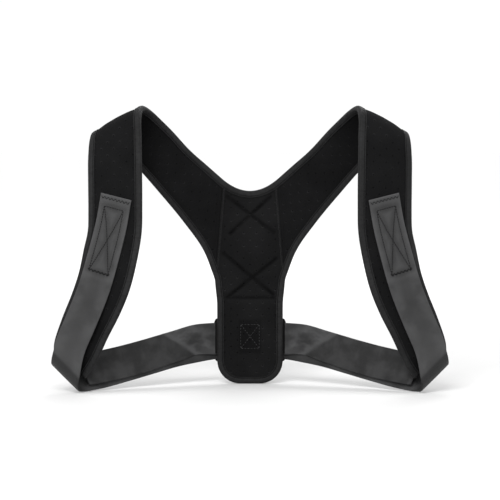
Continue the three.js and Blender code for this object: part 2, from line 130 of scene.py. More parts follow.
# Where the webbing has doubled back on itself, from the tab to the strap's end, as in FOLD.
RETURN = table(
    "mid_x mid_y mid_z to_x to_y to_z",
    (0.280, 0.460, -0.782, 0.12, -0.10, 0.95),
    (0.372, 0.357, -0.799, 0.19, -0.10, 0.95),
    (0.511, 0.214, -0.826, 0.21, 0.05, 0.97),
    (0.633, 0.063, -0.845, 0.23, 0.12, 0.96),
    (0.749, -0.098, -0.858, 0.29, 0.20, 0.92),
    (0.801, -0.159, -0.864, 0.35, 0.22, 0.89),
    (0.840, -0.203, -0.868, 0.45, 0.24, 0.83),
)

# Where the webbing runs behind the tab, as shares of half the tab's width and of tab_length.
TUCKED = table("in_from_side drop", (-0.07, 0.62), (0.40, 0.61), (0.78, 0.60))

# One face of the edge tape, from its free edge to the fold: inwards is a share of the tape's cover, and
# outer and inner are the heights of its two sides as shares of the tape's half height.
TAPE = table(
    "inwards outer inner",
    (1.000, 0.70, 0.66),
    (0.992, 0.84, 0.64),
    (0.960, 0.89, 0.63),
    (0.920, 0.89, 0.63),
    (0.880, 0.83, 0.62),
    (0.845, 0.73, 0.60),
    (0.815, 0.72, 0.60),
    (0.780, 0.80, 0.62),
    (0.730, 0.90, 0.66),
    (0.640, 0.965, 0.70),
    (0.500, 1.00, 0.72),
    (0.350, 1.00, 0.72),
    (0.220, 0.96, 0.70),
    (0.120, 0.85, 0.62),
    (0.045, 0.65, 0.48),
    (0.010, 0.35, 0.26),
    (0.000, 0.00, 0.00),
)

# The quilting lines of the panel, from one end to the other: x as a share of half the tab's width, and
# down as a share of the way from the notch to the tab's bottom. deep is a share of quilt_depth.
QUILT = table(
    "x_from down_from x_to down_to deep",
    (-0.69, 0.03, 0.73, 0.215, 1.0),
    (0.62, 0.03, -0.60, 0.22, 1.0),
    (-0.80, 0.325, 0.70, 0.535, 1.0),
    (0.80, 0.350, -0.68, 0.55, 1.0),
    (-0.72, 0.553, 0.72, 0.553, 0.8),
)

# The cloths' soft waves, in layers of a wavelength, a height and a seed.
PAD_WAVES = ((55 * MM, 0.14 * MM, 3), (18 * MM, 0.06 * MM, 4))
PANEL_WAVES = ((40 * MM, 0.18 * MM, 11), (15 * MM, 0.06 * MM, 12))
WEBBING_WAVES = ((60 * MM, 0.25 * MM, 21),)
KEEPER_WAVES = ((30 * MM, 0.25 * MM, 31),)

# The box-and-cross seam that holds the webbing on the pad: how far its rows lie from the webbing's
# cut end, and its sides as parts of the webbing's width.
BOX_TOP, BOX_BOTTOM = 14 * MM, 89 * MM
BOX_LOW, BOX_HIGH = 0.20, 0.82


def box_and_cross(first, second, third, fourth):
    """The six legs of a box seam with a cross: its sides in turn, and then both diagonals."""
    corners = (first, second, third, fourth)
    sides = tuple(zip(corners, (second, third, fourth, first)))
    return (*sides, (first, third), (second, fourth))


BOX_LEGS = box_and_cross(
    (BOX_TOP, BOX_LOW), (BOX_TOP, BOX_HIGH), (BOX_BOTTOM, BOX_HIGH), (BOX_BOTTOM, BOX_LOW))


def length_setting(name, description, default):
    """A size that a user may change."""
    return bpy.props.FloatProperty(
        name=name, description=description, default=default, min=0.0, precision=4, unit="LENGTH")


def colour_setting(name, description, tone, blue):
    """A nearly grey colour that a user may change: tone is its red and its green."""
    return bpy.props.FloatVectorProperty(
        name=name, description=description, default=(tone, tone, blue), size=3, min=0.0, max=1.0,
        subtype="COLOR")


class BraceSizes(bpy.types.PropertyGroup):
    """Sizes of the brace, as its frame has them."""

    half_span: length_setting("Half span", "Centre line to the outermost point of a strap", 230 * MM)
    trunk_depth: length_setting("Trunk depth", "From the chest runs to the back panel", 120 * MM)
    brace_drop: length_setting("Brace drop", "Shoulder turns to the lowest corners", 330 * MM)
    strap_width: length_setting("Strap width", "Width of a padded strap", 66 * MM)
    pad_edge: length_setting("Pad edge", "Pad thickness where it is stitched", 4 * MM)
    pad_crown: length_setting("Pad crown", "What the pad gains in the middle", 2 * MM)
    shoulder_bow: length_setting("Shoulder bow", "Rise of the strap's middle at the turn", 2 * MM)
    tape_cover: length_setting("Tape cover", "Edge tape, from the edge inwards", 8 * MM)
    tape_thickness: length_setting("Tape thickness", "Thickness of the edge tape", 1 * MM)
    tape_slack: length_setting("Tape slack", "Between an edge tape and what it wraps", 0.5 * MM)
    webbing_width: length_setting("Webbing width", "Width of the webbing", 38 * MM)
    webbing_thickness: length_setting("Webbing thickness", "Thickness of the webbing", 1.6 * MM)
    layer_gap: length_setting("Layer gap", "Between the webbing's layers behind the tab", 1.4 * MM)
    return_rise: length_setting("Return rise", "Rise of the doubled layer at the tab", 6 * MM)
    tab_width: length_setting("Tab width", "Width of the tab", 78 * MM)
    tab_length: length_setting("Tab length", "Length of the tab below the seams", 124 * MM)
    tab_corner_radius: length_setting("Tab corner radius", "Radius of the tab's corners", 27 * MM)
    notch_sag: length_setting("Notch sag", "Neck notch, below the top of the seams", 13.5 * MM)
    back_bow: length_setting("Back bow", "How far the panel's middle stands back", 1.5 * MM)
    seam_gap: length_setting("Seam gap", "Between a strap and the back panel", 0.5 * MM)
    keeper_overhang: length_setting("Keeper overhang", "Past each side of the tab", 4 * MM)
    keeper_slack: length_setting("Keeper slack", "Room above and below the webbing", 2 * MM)
    keeper_thickness: length_setting("Keeper thickness", "Thickness of the keeper", 1.5 * MM)
    clearance: length_setting("Clearance", "Between pieces that lie on each other", 0.3 * MM)
    quilt_depth: length_setting("Quilt depth", "Depth of a quilting line", 1.9 * MM)


class BraceFinish(bpy.types.PropertyGroup):
    """Colours of the brace's cloths."""

    pad: colour_setting("Pad", "Perforated cloth of the straps", 0.0048, 0.005)
    quilt: colour_setting("Quilt", "Cloth of the back panel", 0.0060, 0.0062)
    tape: colour_setting("Tape", "Edge tape", 0.0118, 0.0121)
    webbing: colour_setting("Webbing", "Satin side of the webbing", 0.0255, 0.026)
    loop: colour_setting("Loop", "Matt side of the webbing", 0.0185, 0.0188)
    keeper: colour_setting("Keeper", "Patch behind the tab", 0.011, 0.0112)
    thread: colour_setting("Thread", "Black sewing thread", 0.004, 0.0041)
    pale_thread: colour_setting("Pale thread", "Thread of the tab's box seam", 0.028, 0.0285)
    seam_thread: colour_setting("Seam thread", "Thread of the panel's seams", 0.0175, 0.0178)
    floor: colour_setting("Floor", "The pale floor", 0.985, 0.985)


class BraceView(bpy.types.PropertyGroup):
    """Where the camera stands."""

    distance: length_setting("Distance", "Camera to the middle of the view", 2600 * MM)
    frame_width: length_setting("Frame width", "What the picture spans at the brace", 580 * MM)
    drop: length_setting("Drop", "Middle of the view, below the shoulder turns", 148.5 * MM)
    elevation: bpy.props.FloatProperty(
        name="Elevation", description="How far the camera looks down", default=math.radians(3),
        subtype="ANGLE")


# Surfaces


def mix(first, second, share):
    """The way from first to second, by share, over the last axis."""
    return first + (second - first) * np.asarray(share)[..., None]


def unit(vectors):
    """The vectors at length one."""
    return vectors / np.linalg.norm(vectors, axis=-1, keepdims=True)


def smoothstep(values, low, high):
    """0 below low, 1 above high, and 3t^2 - 2t^3 of the way t between them."""
    share = np.clip((values - low) / (high - low), 0, 1)
    return share * share * (3 - 2 * share)


def fade(values, low, high):
    """1 below low, 0 above high, and 1 less smoothstep between them."""
    return 1 - smoothstep(values, low, high)


def bell(values, width):
    """1 at 0 and falling off on both sides, as e to the power of minus (values / width) squared."""
    return np.exp(-(values / width) ** 2)


def off_leg(x, y, start, end):
    """How far points of a plane lie from the straight leg between two of its points."""
    way_x, way_y = end[0] - start[0], end[1] - start[1]
    off_x, off_y = x - start[0], y - start[1]
    share = np.clip((off_x * way_x + off_y * way_y) / (way_x**2 + way_y**2), 0, 1)
    return np.hypot(off_x - share * way_x, off_y - share * way_y)


def smooth_curve(knots, at):
    """A centripetal Catmull-Rom curve, read at places counted in knots.

    Each stretch is a cubic whose end slopes come from the two knots on either side, weighted by the
    square roots of the distances between them.
    """
    ends = np.vstack([2 * knots[0] - knots[1], knots, 2 * knots[-1] - knots[-2]])
    gaps = np.sqrt(np.linalg.norm(np.diff(ends, axis=0), axis=1))
    stretch = np.clip(np.floor(at).astype(int), 0, len(knots) - 2)
    p0, p1, p2, p3 = (ends[stretch + i] for i in range(4))
    d0, d1, d2 = (gaps[stretch + i][..., None] for i in range(3))
    slope1 = ((p1 - p0) / d0 - (p2 - p0) / (d0 + d1) + (p2 - p1) / d1) * d1
    slope2 = ((p2 - p1) / d1 - (p3 - p1) / (d1 + d2) + (p3 - p2) / d2) * d1
    t = (at - stretch)[..., None]
    square = -3 * p1 + 3 * p2 - 2 * slope1 - slope2
    cube = 2 * p1 - 2 * p2 + slope1 + slope2
    return p1 + slope1 * t + square * t**2 + cube * t**3


def column(rows, name, at):
    """A column of a table read between its rows, easing from one row to the next."""
    row = np.clip(np.floor(at).astype(int), 0, len(rows[name]) - 2)
    share = smoothstep(at - row, 0, 1)
    return rows[name][row] * (1 - share) + rows[name][row + 1] * share


def ripples(u, v, wavelength, seed):
    """Soft waves, mostly between -1 and 1: the sum of sine waves with seeded directions, phases and
    lengths, over the square root of their number."""
    waves = 7
    least, most = 0.6, 1.5
    chance = np.random.default_rng(seed)
    angle, phase = chance.uniform(0, 2 * np.pi, (2, waves))
    number = 2 * np.pi / wavelength * chance.uniform(least, most, waves)
    run = u[..., None] * np.cos(angle) + v[..., None] * np.sin(angle)
    return np.sin(number * run + phase).sum(-1) / math.sqrt(waves)


def soft_waves(u, v, layers):
    """The sum of ripples, each layer with its wavelength, height and seed."""
    return sum(ripples(u, v, wavelength, seed) * height for wavelength, height, seed in layers)


def running_length(places):
    """How far along a line of points each one lies."""
    steps = np.linalg.norm(np.diff(places, axis=0), axis=1)
    return np.concatenate([[0], np.cumsum(steps)])


def read_line(lengths, values, wanted):
    """Values along a line, read at the wanted lengths."""
    return np.stack([np.interp(wanted, lengths, part) for part in values.T], -1)


def vectors(rows, kind, side, scale):
    """The x, y and z columns of a kind, times a scale, with x turned to the side's sign."""
    return np.stack([side * rows[f"{kind}_x"], rows[f"{kind}_y"], rows[f"{kind}_z"]], -1) * scale


def whole_span(sizes):
    """What the tables' x, y and z are shares of."""
    return np.array([sizes.half_span, sizes.trunk_depth, sizes.brace_drop])


def tape_half_height(sizes):
    """Half the height of a tape round a pad's edge."""
    return sizes.pad_edge / 2 + sizes.tape_slack + sizes.tape_thickness


class Strap:
    """One strap's middle surface, worked out from the table of its sections."""

    reach = 0.02
    least_slant = 0.12

    def __init__(self, sizes, side):
        self.sizes = sizes
        self.side = side
        self.inner = vectors(STRAP, "in", side, whole_span(sizes))
        self.outer = self.inner + vectors(STRAP, "to", side, sizes.strap_width)

    def line(self, at, share):
        """Points at a share of the way from the inner edge's curve to the outer edge's."""
        return mix(smooth_curve(self.inner, at), smooth_curve(self.outer, at), share)

    def spot(self, at, share):
        """Place, outward normal, direction along, direction across and width."""
        at, share = np.broadcast_arrays(np.asarray(at, float), np.asarray(share, float))
        across = smooth_curve(self.outer, at) - smooth_curve(self.inner, at)
        width = np.linalg.norm(across, axis=-1)
        across = across / width[..., None]
        before = self.line(np.maximum(at - self.reach, 0), share)
        after = self.line(np.minimum(at + self.reach, LAST_ROW), share)
        along = unit(after - before)
        normal = unit(np.cross(along, across) * self.side)
        bow = self.sizes.shoulder_bow * column(STRAP, "bow", at) * 4 * share * (1 - share)
        place = self.line(at, share) + normal * bow[..., None]
        return place, normal, along, across, width

    def square_share(self, at, edge, distance):
        """How far a square distance from an edge reaches along the cross line, as a share of it."""
        _, _, along, across, width = self.spot(at, edge)
        slant = np.maximum(np.linalg.norm(np.cross(along, across), axis=-1), self.least_slant)
        return distance / slant / width


class Back:
    """The back panel's middle surface: between the straps' seams, and down the tab."""

    bow_fade = 0.6
    normal_reach = 1 * MM

    def __init__(self, sizes):
        strap = Strap(sizes, 1)
        self.sizes = sizes
        self.seam_top = strap.inner[0]
        self.seam_end = strap.outer[0]
        self.tab_half = sizes.tab_width / 2
        self.tab_bottom = self.seam_end[2] - sizes.tab_length
        self.notch_bottom = self.seam_top[2] - sizes.notch_sag

    def seam_share(self, z):
        """How far down the seams a height lies."""
        return np.clip((self.seam_top[2] - z) / (self.seam_top[2] - self.seam_end[2]), 0, 1)

    def seam_x(self, share):
        """How far from the middle the seams lie, at a share of the way down them."""
        return self.seam_top[0] + (self.seam_end[0] - self.seam_top[0]) * share

    def place(self, x, z):
        """The surface's point at x and z: its depth follows the seams, and its middle is bowed."""
        share = self.seam_share(z)
        seam_y = self.seam_top[1] + (self.seam_end[1] - self.seam_top[1]) * share
        bow = self.sizes.back_bow * smoothstep(1 - share, 0, self.bow_fade)
        bow = bow * (1 - np.minimum(np.abs(x) / self.seam_x(share), 1) ** 2)
        return np.stack([x, seam_y + bow, z], -1)

    def normal(self, x, z):
        """The normal that faces behind the wearer."""
        reach = self.normal_reach
        sideways = self.place(x + reach, z) - self.place(x - reach, z)
        upwards = self.place(x, z + reach) - self.place(x, z - reach)
        return unit(np.cross(upwards, sideways))

    def notch_height(self, x):
        """The neck notch: a parabola between the tops of the seams."""
        return self.notch_bottom + self.sizes.notch_sag * np.minimum(np.abs(x) / self.seam_top[0], 1) ** 2

    def side_half(self, z):
        """Half the panel's width between the seams' ends and the tab's round corners."""
        share = smoothstep(self.seam_end[2] - z, 0, self.sizes.tab_length / 4)
        return self.seam_end[0] + (self.tab_half - self.seam_end[0]) * share

    def tab_side(self, straight_count, corner_count):
        """The tab's right outline from the seam's end to the bottom corner's end: x, z and the
        direction that leads in. The side is nearly straight, and the corner a quarter circle."""
        radius = self.sizes.tab_corner_radius
        corner_top = self.tab_bottom + radius
        straight_z = np.linspace(self.seam_end[2], corner_top, straight_count, endpoint=False)
        angle = np.linspace(0, np.pi / 2, corner_count)
        x = np.concatenate([self.side_half(straight_z), self.tab_half - radius * (1 - np.cos(angle))])
        z = np.concatenate([straight_z, corner_top - radius * np.sin(angle)])
        in_x = np.concatenate([-np.ones(straight_count), -np.cos(angle)])
        in_z = np.concatenate([np.zeros(straight_count), np.sin(angle)])
        return x, z, in_x, in_z


class Webbing:
    """The webbing's middle surface, from its sewn end round the fold, behind the tab and back."""

    reach = 0.05
    stations_per_section = 60

    def __init__(self, sizes, strap):
        side = strap.side
        back = Back(sizes)
        half = sizes.webbing_thickness / 2
        height = (sizes.pad_edge + sizes.pad_crown) / 2 + sizes.clearance + half
        place, normal, _, across, _ = strap.spot(SEWN["at"], SEWN["across"])
        turn = (side * np.radians(SEWN["turn"]))[:, None]
        across = across * np.cos(turn) + np.cross(normal, across) * np.sin(turn)
        lift = (height + sizes.webbing_thickness * SEWN["lift"])[:, None]

        def free(rows):
            return vectors(rows, "mid", side, whole_span(sizes)), vectors(rows, "to", side, 1)

        def tucked(y, rise, order):
            x = side * back.tab_half * (1 - TUCKED["in_from_side"][order])
            z = back.seam_end[2] - TUCKED["drop"][order] * sizes.tab_length + rise
            middle = np.stack([x, np.full_like(x, y), z], -1)
            return middle, np.tile([0.0, 0.0, 1.0], (len(x), 1))

        self.inner_y = back.seam_end[1] + tape_half_height(sizes) + 2 * sizes.clearance + half
        self.outer_y = self.inner_y + sizes.webbing_thickness + sizes.layer_gap
        there, return_way = slice(None), slice(None, None, -1)
        stretches = (
            (place + normal * lift, across),
            free(FOLD),
            tucked(self.outer_y, 0, there),
            tucked(self.inner_y, sizes.return_rise, return_way),
            free(RETURN),
        )
        middle, cross = (np.vstack(parts) for parts in zip(*stretches))
        self.side = side
        self.low = middle - cross * sizes.webbing_width / 2
        self.high = middle + cross * sizes.webbing_width / 2
        self.last = len(middle) - 1
        self.stations = np.linspace(0, self.last, self.stations_per_section * self.last)
        self.lengths = running_length(self.line(self.stations, 0.5))
        self.length = self.lengths[-1]

    def line(self, at, part):
        """Points at a part of the way from the lower edge's curve to the upper edge's."""
        return mix(smooth_curve(self.low, at), smooth_curve(self.high, at), part)

    def spot(self, run, part):
        """Place and outward normal at a run of the webbing's length and a part of its width."""
        run, part = np.broadcast_arrays(np.asarray(run, float), np.asarray(part, float))
        at = np.interp(run, self.lengths, self.stations)
        before = self.line(np.maximum(at - self.reach, 0), part)
        after = self.line(np.minimum(at + self.reach, self.last), part)
        across = smooth_curve(self.high, at) - smooth_curve(self.low, at)
        normal = unit(np.cross(after - before, across) * self.side)
        return self.line(at, part), normal


# Meshes


def new_object(name, vertices, faces, uv=None, marks=None):
    """A mesh object at the origin. uv holds a place on the cloth for each vertex, in metres, and
    marks names numbers for each vertex that its material reads."""
    mesh = bpy.data.meshes.new(name)
    mesh.from_pydata(vertices, [], faces)
    if uv is not None:
        corners = np.empty(len(mesh.loops), np.int32)
        mesh.loops.foreach_get("vertex_index", corners)
        mesh.uv_layers.new(name="cloth").data.foreach_set("uv", uv[corners].ravel())
    for mark, values in (marks or {}).items():
        mesh.attributes.new(mark, "FLOAT", "POINT").data.foreach_set("value", values.astype(np.float32))
    mesh.shade_smooth()
    made = bpy.data.objects.new(name, mesh)
    bpy.context.scene.collection.objects.link(made)
    return made


def shell(name, outer, inner, uv, marks):
    """A closed strip between an outer and an inner grid of points, joined at its sides and ends.

    Each row's outer points and its inner points, taken back, form a loop. Neighbouring loops are
    joined by quads, and each end is closed by quads from its outer points to its inner ones. A mark
    holds for both faces, or is a pair, outer and inner, and is spread over the grid.
    """
    rows, columns = outer.shape[:2]
    loop = 2 * columns
    vertices = np.concatenate([outer, inner[:, ::-1]], axis=1).reshape(-1, 3)
    around = np.arange(loop)
    ring = np.stack([around, (around + 1) % loop, (around + 1) % loop + loop, around + loop], -1)
    sides = (ring[None] + loop * np.arange(rows - 1)[:, None, None]).reshape(-1, 4)
    step = np.arange(columns - 1)
    cap = np.stack([step, loop - 1 - step, loop - 2 - step, step + 1], -1)
    faces = np.concatenate([sides, cap, cap[:, ::-1] + loop * (rows - 1)])
    if enclosed_volume(vertices, faces) < 0:
        faces = faces[:, ::-1]

    def both(values):
        pair = values if isinstance(values, tuple) else (values, values)
        first, second = (np.broadcast_to(face, (rows, columns, *np.shape(face)[2:])) for face in pair)
        return np.concatenate([first, second[:, ::-1]], axis=1)

    flat_marks = {mark: both(values).ravel() for mark, values in marks.items()}
    return new_object(name, vertices, faces.tolist(), both(uv).reshape(-1, 2), flat_marks)


def enclosed_volume(vertices, faces):
    """Six times the volume inside quads: each splits in two triangles, whose triple products add."""
    a, b, c, d = (vertices[faces[:, i]] for i in range(4))
    return (np.cross(a, b) * c).sum() + (np.cross(a, c) * d).sum()


def bars(name, groups, radius):
    """Stitches as small rounded bars, from groups of starts, ends and normals.

    Rings of points stand round each bar's axis, smaller at the ends, and the axis is an arc that
    rises from the cloth in the middle.
    """
    starts, ends, normals = (np.concatenate(parts) for parts in zip(*groups))
    ring_run = np.array([-1.0, -0.6, 0.6, 1.0])
    ring_size = np.array([0.35, 1.0, 1.0, 0.35])[:, None, None]
    ring_rise = np.array([-0.5, 0.5, 0.5, -0.5])[:, None, None]
    sides = 5
    rings = len(ring_run)
    along = (ends - starts) / 2
    sideways = unit(np.cross(normals, along))
    around = np.arange(sides)
    angle = (around * 2 * np.pi / sides)[:, None]
    spots = ((starts + ends) / 2)[:, None, None] + along[:, None, None] * ring_run[:, None, None]
    wide = np.cos(angle) * ring_size
    tall = np.sin(angle) * ring_size + ring_rise
    spots = spots + radius * (sideways[:, None, None] * wide + normals[:, None, None] * tall)
    after = (around + 1) % sides
    ring = np.stack([around, after, after + sides, around + sides], -1)
    quads = np.concatenate([ring + sides * i for i in range(rings - 1)])
    first = np.arange(len(starts))[:, None, None] * sides * rings
    faces = (quads[None] + first).reshape(-1, 4).tolist()
    faces += (around[None, ::-1] + first[:, 0]).tolist()
    faces += (around[None] + sides * (rings - 1) + first[:, 0]).tolist()
    return new_object(name, spots.reshape(-1, 3), faces)


def seam_bars(places, normals, pitch, share=0.72):
    """Starts, ends and normals of stitches at an even pitch along a line of points."""
    lengths = running_length(places)
    count = max(int(lengths[-1] / pitch), 1)
    step = lengths[-1] / count
    middle = (np.arange(count) + 0.5) * step
    reach = step * share / 2
    starts = read_line(lengths, places, middle - reach)
    ends = read_line(lengths, places, middle + reach)
    return starts, ends, unit(read_line(lengths, normals, middle))


def zigzag(count, swing):
    """Steps to either side in turn, by the same distance."""
    return np.where(np.arange(count) % 2, swing, -swing)


# Materials


def math_node(operation):
    """A method that gives the result of a Math node on its number and others."""
    return lambda number, *others: number.cloth.math(operation, number, *others)


class Number:
    """A number that varies over a surface. Arithmetic on it adds Math nodes to its material."""

    __add__ = math_node("ADD")
    __sub__ = math_node("SUBTRACT")
    __mul__ = math_node("MULTIPLY")
    __truediv__ = math_node("DIVIDE")
    fraction = math_node("FRACT")
    floor = math_node("FLOOR")
    root = math_node("SQRT")
    sine = math_node("SINE")
    absolute = math_node("ABSOLUTE")

    def __init__(self, cloth, socket):
        self.cloth = cloth
        self.socket = socket

    def __rsub__(self, other):
        return self.cloth.math("SUBTRACT", other, self)

    def ease(self, low, high):
        """0 at low and 1 at high, easing between them."""
        inputs = {"Value": self, "From Min": low, "From Max": high}
        made = self.cloth.node("ShaderNodeMapRange", inputs, interpolation_type="SMOOTHSTEP")
        return Number(self.cloth, made.outputs["Result"])


class Cloth:
    """A procedural cloth material, built node by node."""

    sheen_roughness = 0.5
    mix_first, mix_second, mix_result = 6, 7, 2  # the Mix node's colour sockets have no own names

    def __init__(self, name, roughness, specular, sheen=0.0):
        self.material = bpy.data.materials.new(name)
        self.material.use_nodes = True
        self.tree = self.material.node_tree
        self.tree.nodes.clear()
        self.shader = self.node("ShaderNodeBsdfPrincipled", {
            "Roughness": roughness,
            "Specular IOR Level": specular,
            "Sheen Weight": sheen,
            "Sheen Roughness": self.sheen_roughness,
        })
        self.node("ShaderNodeOutputMaterial", {"Surface": Number(self, self.shader.outputs["BSDF"])})

    def node(self, kind, inputs=None, **settings):
        """A node with its settings, and with a value or another node's result on each input."""
        made = self.tree.nodes.new(kind)
        for name, value in settings.items():
            setattr(made, name, value)
        for name, value in (inputs or {}).items():
            self.connect(value, made.inputs[name])
        return made

    def connect(self, value, socket):
        """Links a result to a socket, or sets a plain value on it."""
        if isinstance(value, Number):
            self.tree.links.new(value.socket, socket)
        else:
            socket.default_value = value

    def math(self, operation, *values):
        made = self.node("ShaderNodeMath", dict(enumerate(values)), operation=operation)
        return Number(self, made.outputs[0])

    def mark(self, name):
        """A number for each vertex, by its attribute's name."""
        return Number(self, self.node("ShaderNodeAttribute", attribute_name=name).outputs["Fac"])

    def object_place(self):
        """The place in the object's own coordinates, in metres."""
        return Number(self, self.node("ShaderNodeTexCoord").outputs["Object"])

    def cloth_place(self):
        """The place on the cloth, in millimetres across and along."""
        uv = Number(self, self.node("ShaderNodeUVMap", uv_map="cloth").outputs["UV"])
        split = self.node("ShaderNodeSeparateXYZ", {"Vector": uv})
        return Number(self, split.outputs["X"]) / MM, Number(self, split.outputs["Y"]) / MM

    def noise(self, scale, detail, x=None, y=None):
        """Noise from 0 to 1: over the object, or over x and y where they are given."""
        if x is None:
            place = self.object_place()
        else:
            place = Number(self, self.node("ShaderNodeCombineXYZ", {"X": x, "Y": y}).outputs["Vector"])
        inputs = {"Scale": scale, "Detail": detail, "Vector": place}
        return Number(self, self.node("ShaderNodeTexNoise", inputs).outputs["Fac"])

    def blend(self, share, first, second):
        """A colour between two, each a colour or what blend gave before."""
        inputs = {"Factor": share}
        for colour, socket in ((first, self.mix_first), (second, self.mix_second)):
            inputs[socket] = colour if isinstance(colour, Number) else (*colour, 1.0)
        made = self.node("ShaderNodeMix", inputs, data_type="RGBA")
        return Number(self, made.outputs[self.mix_result])

    def mottled(self, colour, share, dark, light):
        """A colour between a darker and a lighter shade of itself, by share."""
        return self.blend(share, shade(colour, dark), shade(colour, light))

    def layered(self, base, colour, *layers):
        """A base with shades of a colour laid over it in turn, each layer a share and a shade."""
        for share, factor in layers:
            base = self.blend(share, base, shade(colour, factor))
        return base

    def colour(self, value):
        self.connect(value, self.shader.inputs["Base Color"])

    def roughness(self, value):
        self.connect(value, self.shader.inputs["Roughness"])

    def relief(self, height, depth, strength=1.0):
        """Bumps of a height that runs from 0 to 1 over a depth in metres."""
        inputs = {"Strength": strength, "Distance": depth, "Height": height}
        bump = Number(self, self.node("ShaderNodeBump", inputs).outputs["Normal"])
        self.connect(bump, self.shader.inputs["Normal"])
        return self.material


def shade(colour, factor):
    """A colour made lighter or darker."""
    return tuple(min(part * factor, 1.0) for part in colour)


def ribs(place, pitch):
    """Ribs across a place in millimetres: a sine wave from 0 to 1."""
    return (place * (2 * math.pi / pitch)).sine() * 0.5 + 0.5


def knit(u, v, pitch):
    """A fine knit: the product of two sine waves across each other, from 0 to 1."""
    turn = 2 * math.pi / pitch
    return ((u + v) * turn).sine() * ((u - v) * turn).sine() * 0.5 + 0.5


def pin_holes(u, v, across, along, radius):
    """A staggered grid of small round holes: 1 inside a hole, 0 outside."""
    soft_from, soft_to = radius * 0.6, radius * 1.4
    row = (v / along).floor()
    sideways = ((u / across + row * 0.5).fraction() - 0.5) * across
    lengthways = ((v / along).fraction() - 0.5) * along
    distance = (sideways * sideways + lengthways * lengthways).root()
    return 1.0 - distance.ease(soft_from, soft_to)


def padded_cloth(name, colour):
    """Matt knit of the pads and the panel, with painted shade in its pin holes and a painted highlight on
    one side of each hole's rim. It is darker where it is doubled, has painted shade on the inner face
    under the turn over the shoulder, and has patchy painted shade in the quilting grooves."""
    pitches = {"across": 15.0, "along": 7.5}
    rim_drop = 0.4
    cloth = Cloth(name, roughness=0.9, specular=0.03, sheen=0.004)
    u, v = cloth.cloth_place()
    hole = pin_holes(u, v, radius=0.75, **pitches)
    rim = pin_holes(u, v + rim_drop, radius=1.2, **pitches)
    patch = cloth.noise(22.0, 4.0)
    fuzz = cloth.noise(1.6, 2.0, u, v)
    # How strongly the painted shade in the grooves shows, varying at random.
    groove_shade_strength = cloth.noise(45.0, 2.0).ease(0.35, 0.65) * 0.35 + 0.38
    base = cloth.mottled(colour, patch.ease(0.35, 0.7), 0.82, 1.2)
    # Laid over the mottled base: pale fuzz, a painted highlight on one side of each hole's rim, painted
    # shade in the holes, darker doubled cloth, painted shade under the shoulder turn, and painted shade
    # in the grooves.
    cloth.colour(cloth.layered(
        base, colour,
        (fuzz.ease(0.45, 0.75) * 0.5, 1.9),
        (rim * patch.ease(0.4, 0.6), 2.8),
        (hole, 0.2),
        (cloth.mark("doubled") * 0.45, 0.4),
        (cloth.mark("turned_in") * 0.55, 0.2),
        (cloth.mark("groove").ease(0.25, 1.0) * groove_shade_strength, 0.12)))
    height = knit(u, v, 1.3) * 0.35 + fuzz * 0.4 - hole
    return cloth.relief(height, depth=0.35 * MM)


def tape_cloth(colour):
    """Smooth edge tape: a fine rib across it and slight puckers, with painted shade in the puckers and in
    the groove along its seam.
    """
    cloth = Cloth("edge_tape", roughness=0.6, specular=0.07, sheen=0.006)
    u, v = cloth.cloth_place()
    pucker = cloth.noise(0.35, 2.0, u * 0.5, v)
    base = cloth.mottled(colour, cloth.noise(30.0, 3.0).ease(0.3, 0.7), 0.8, 1.2)
    # Painted shade in the puckers and in the stitch groove.
    cloth.colour(cloth.layered(
        base, colour,
        (pucker.ease(0.42, 0.7) * 0.6, 0.5),
        (cloth.mark("seam") * 0.75, 0.2)))
    return cloth.relief(ribs(v, 0.9) * 0.25 + pucker, depth=0.5 * MM, strength=0.8)


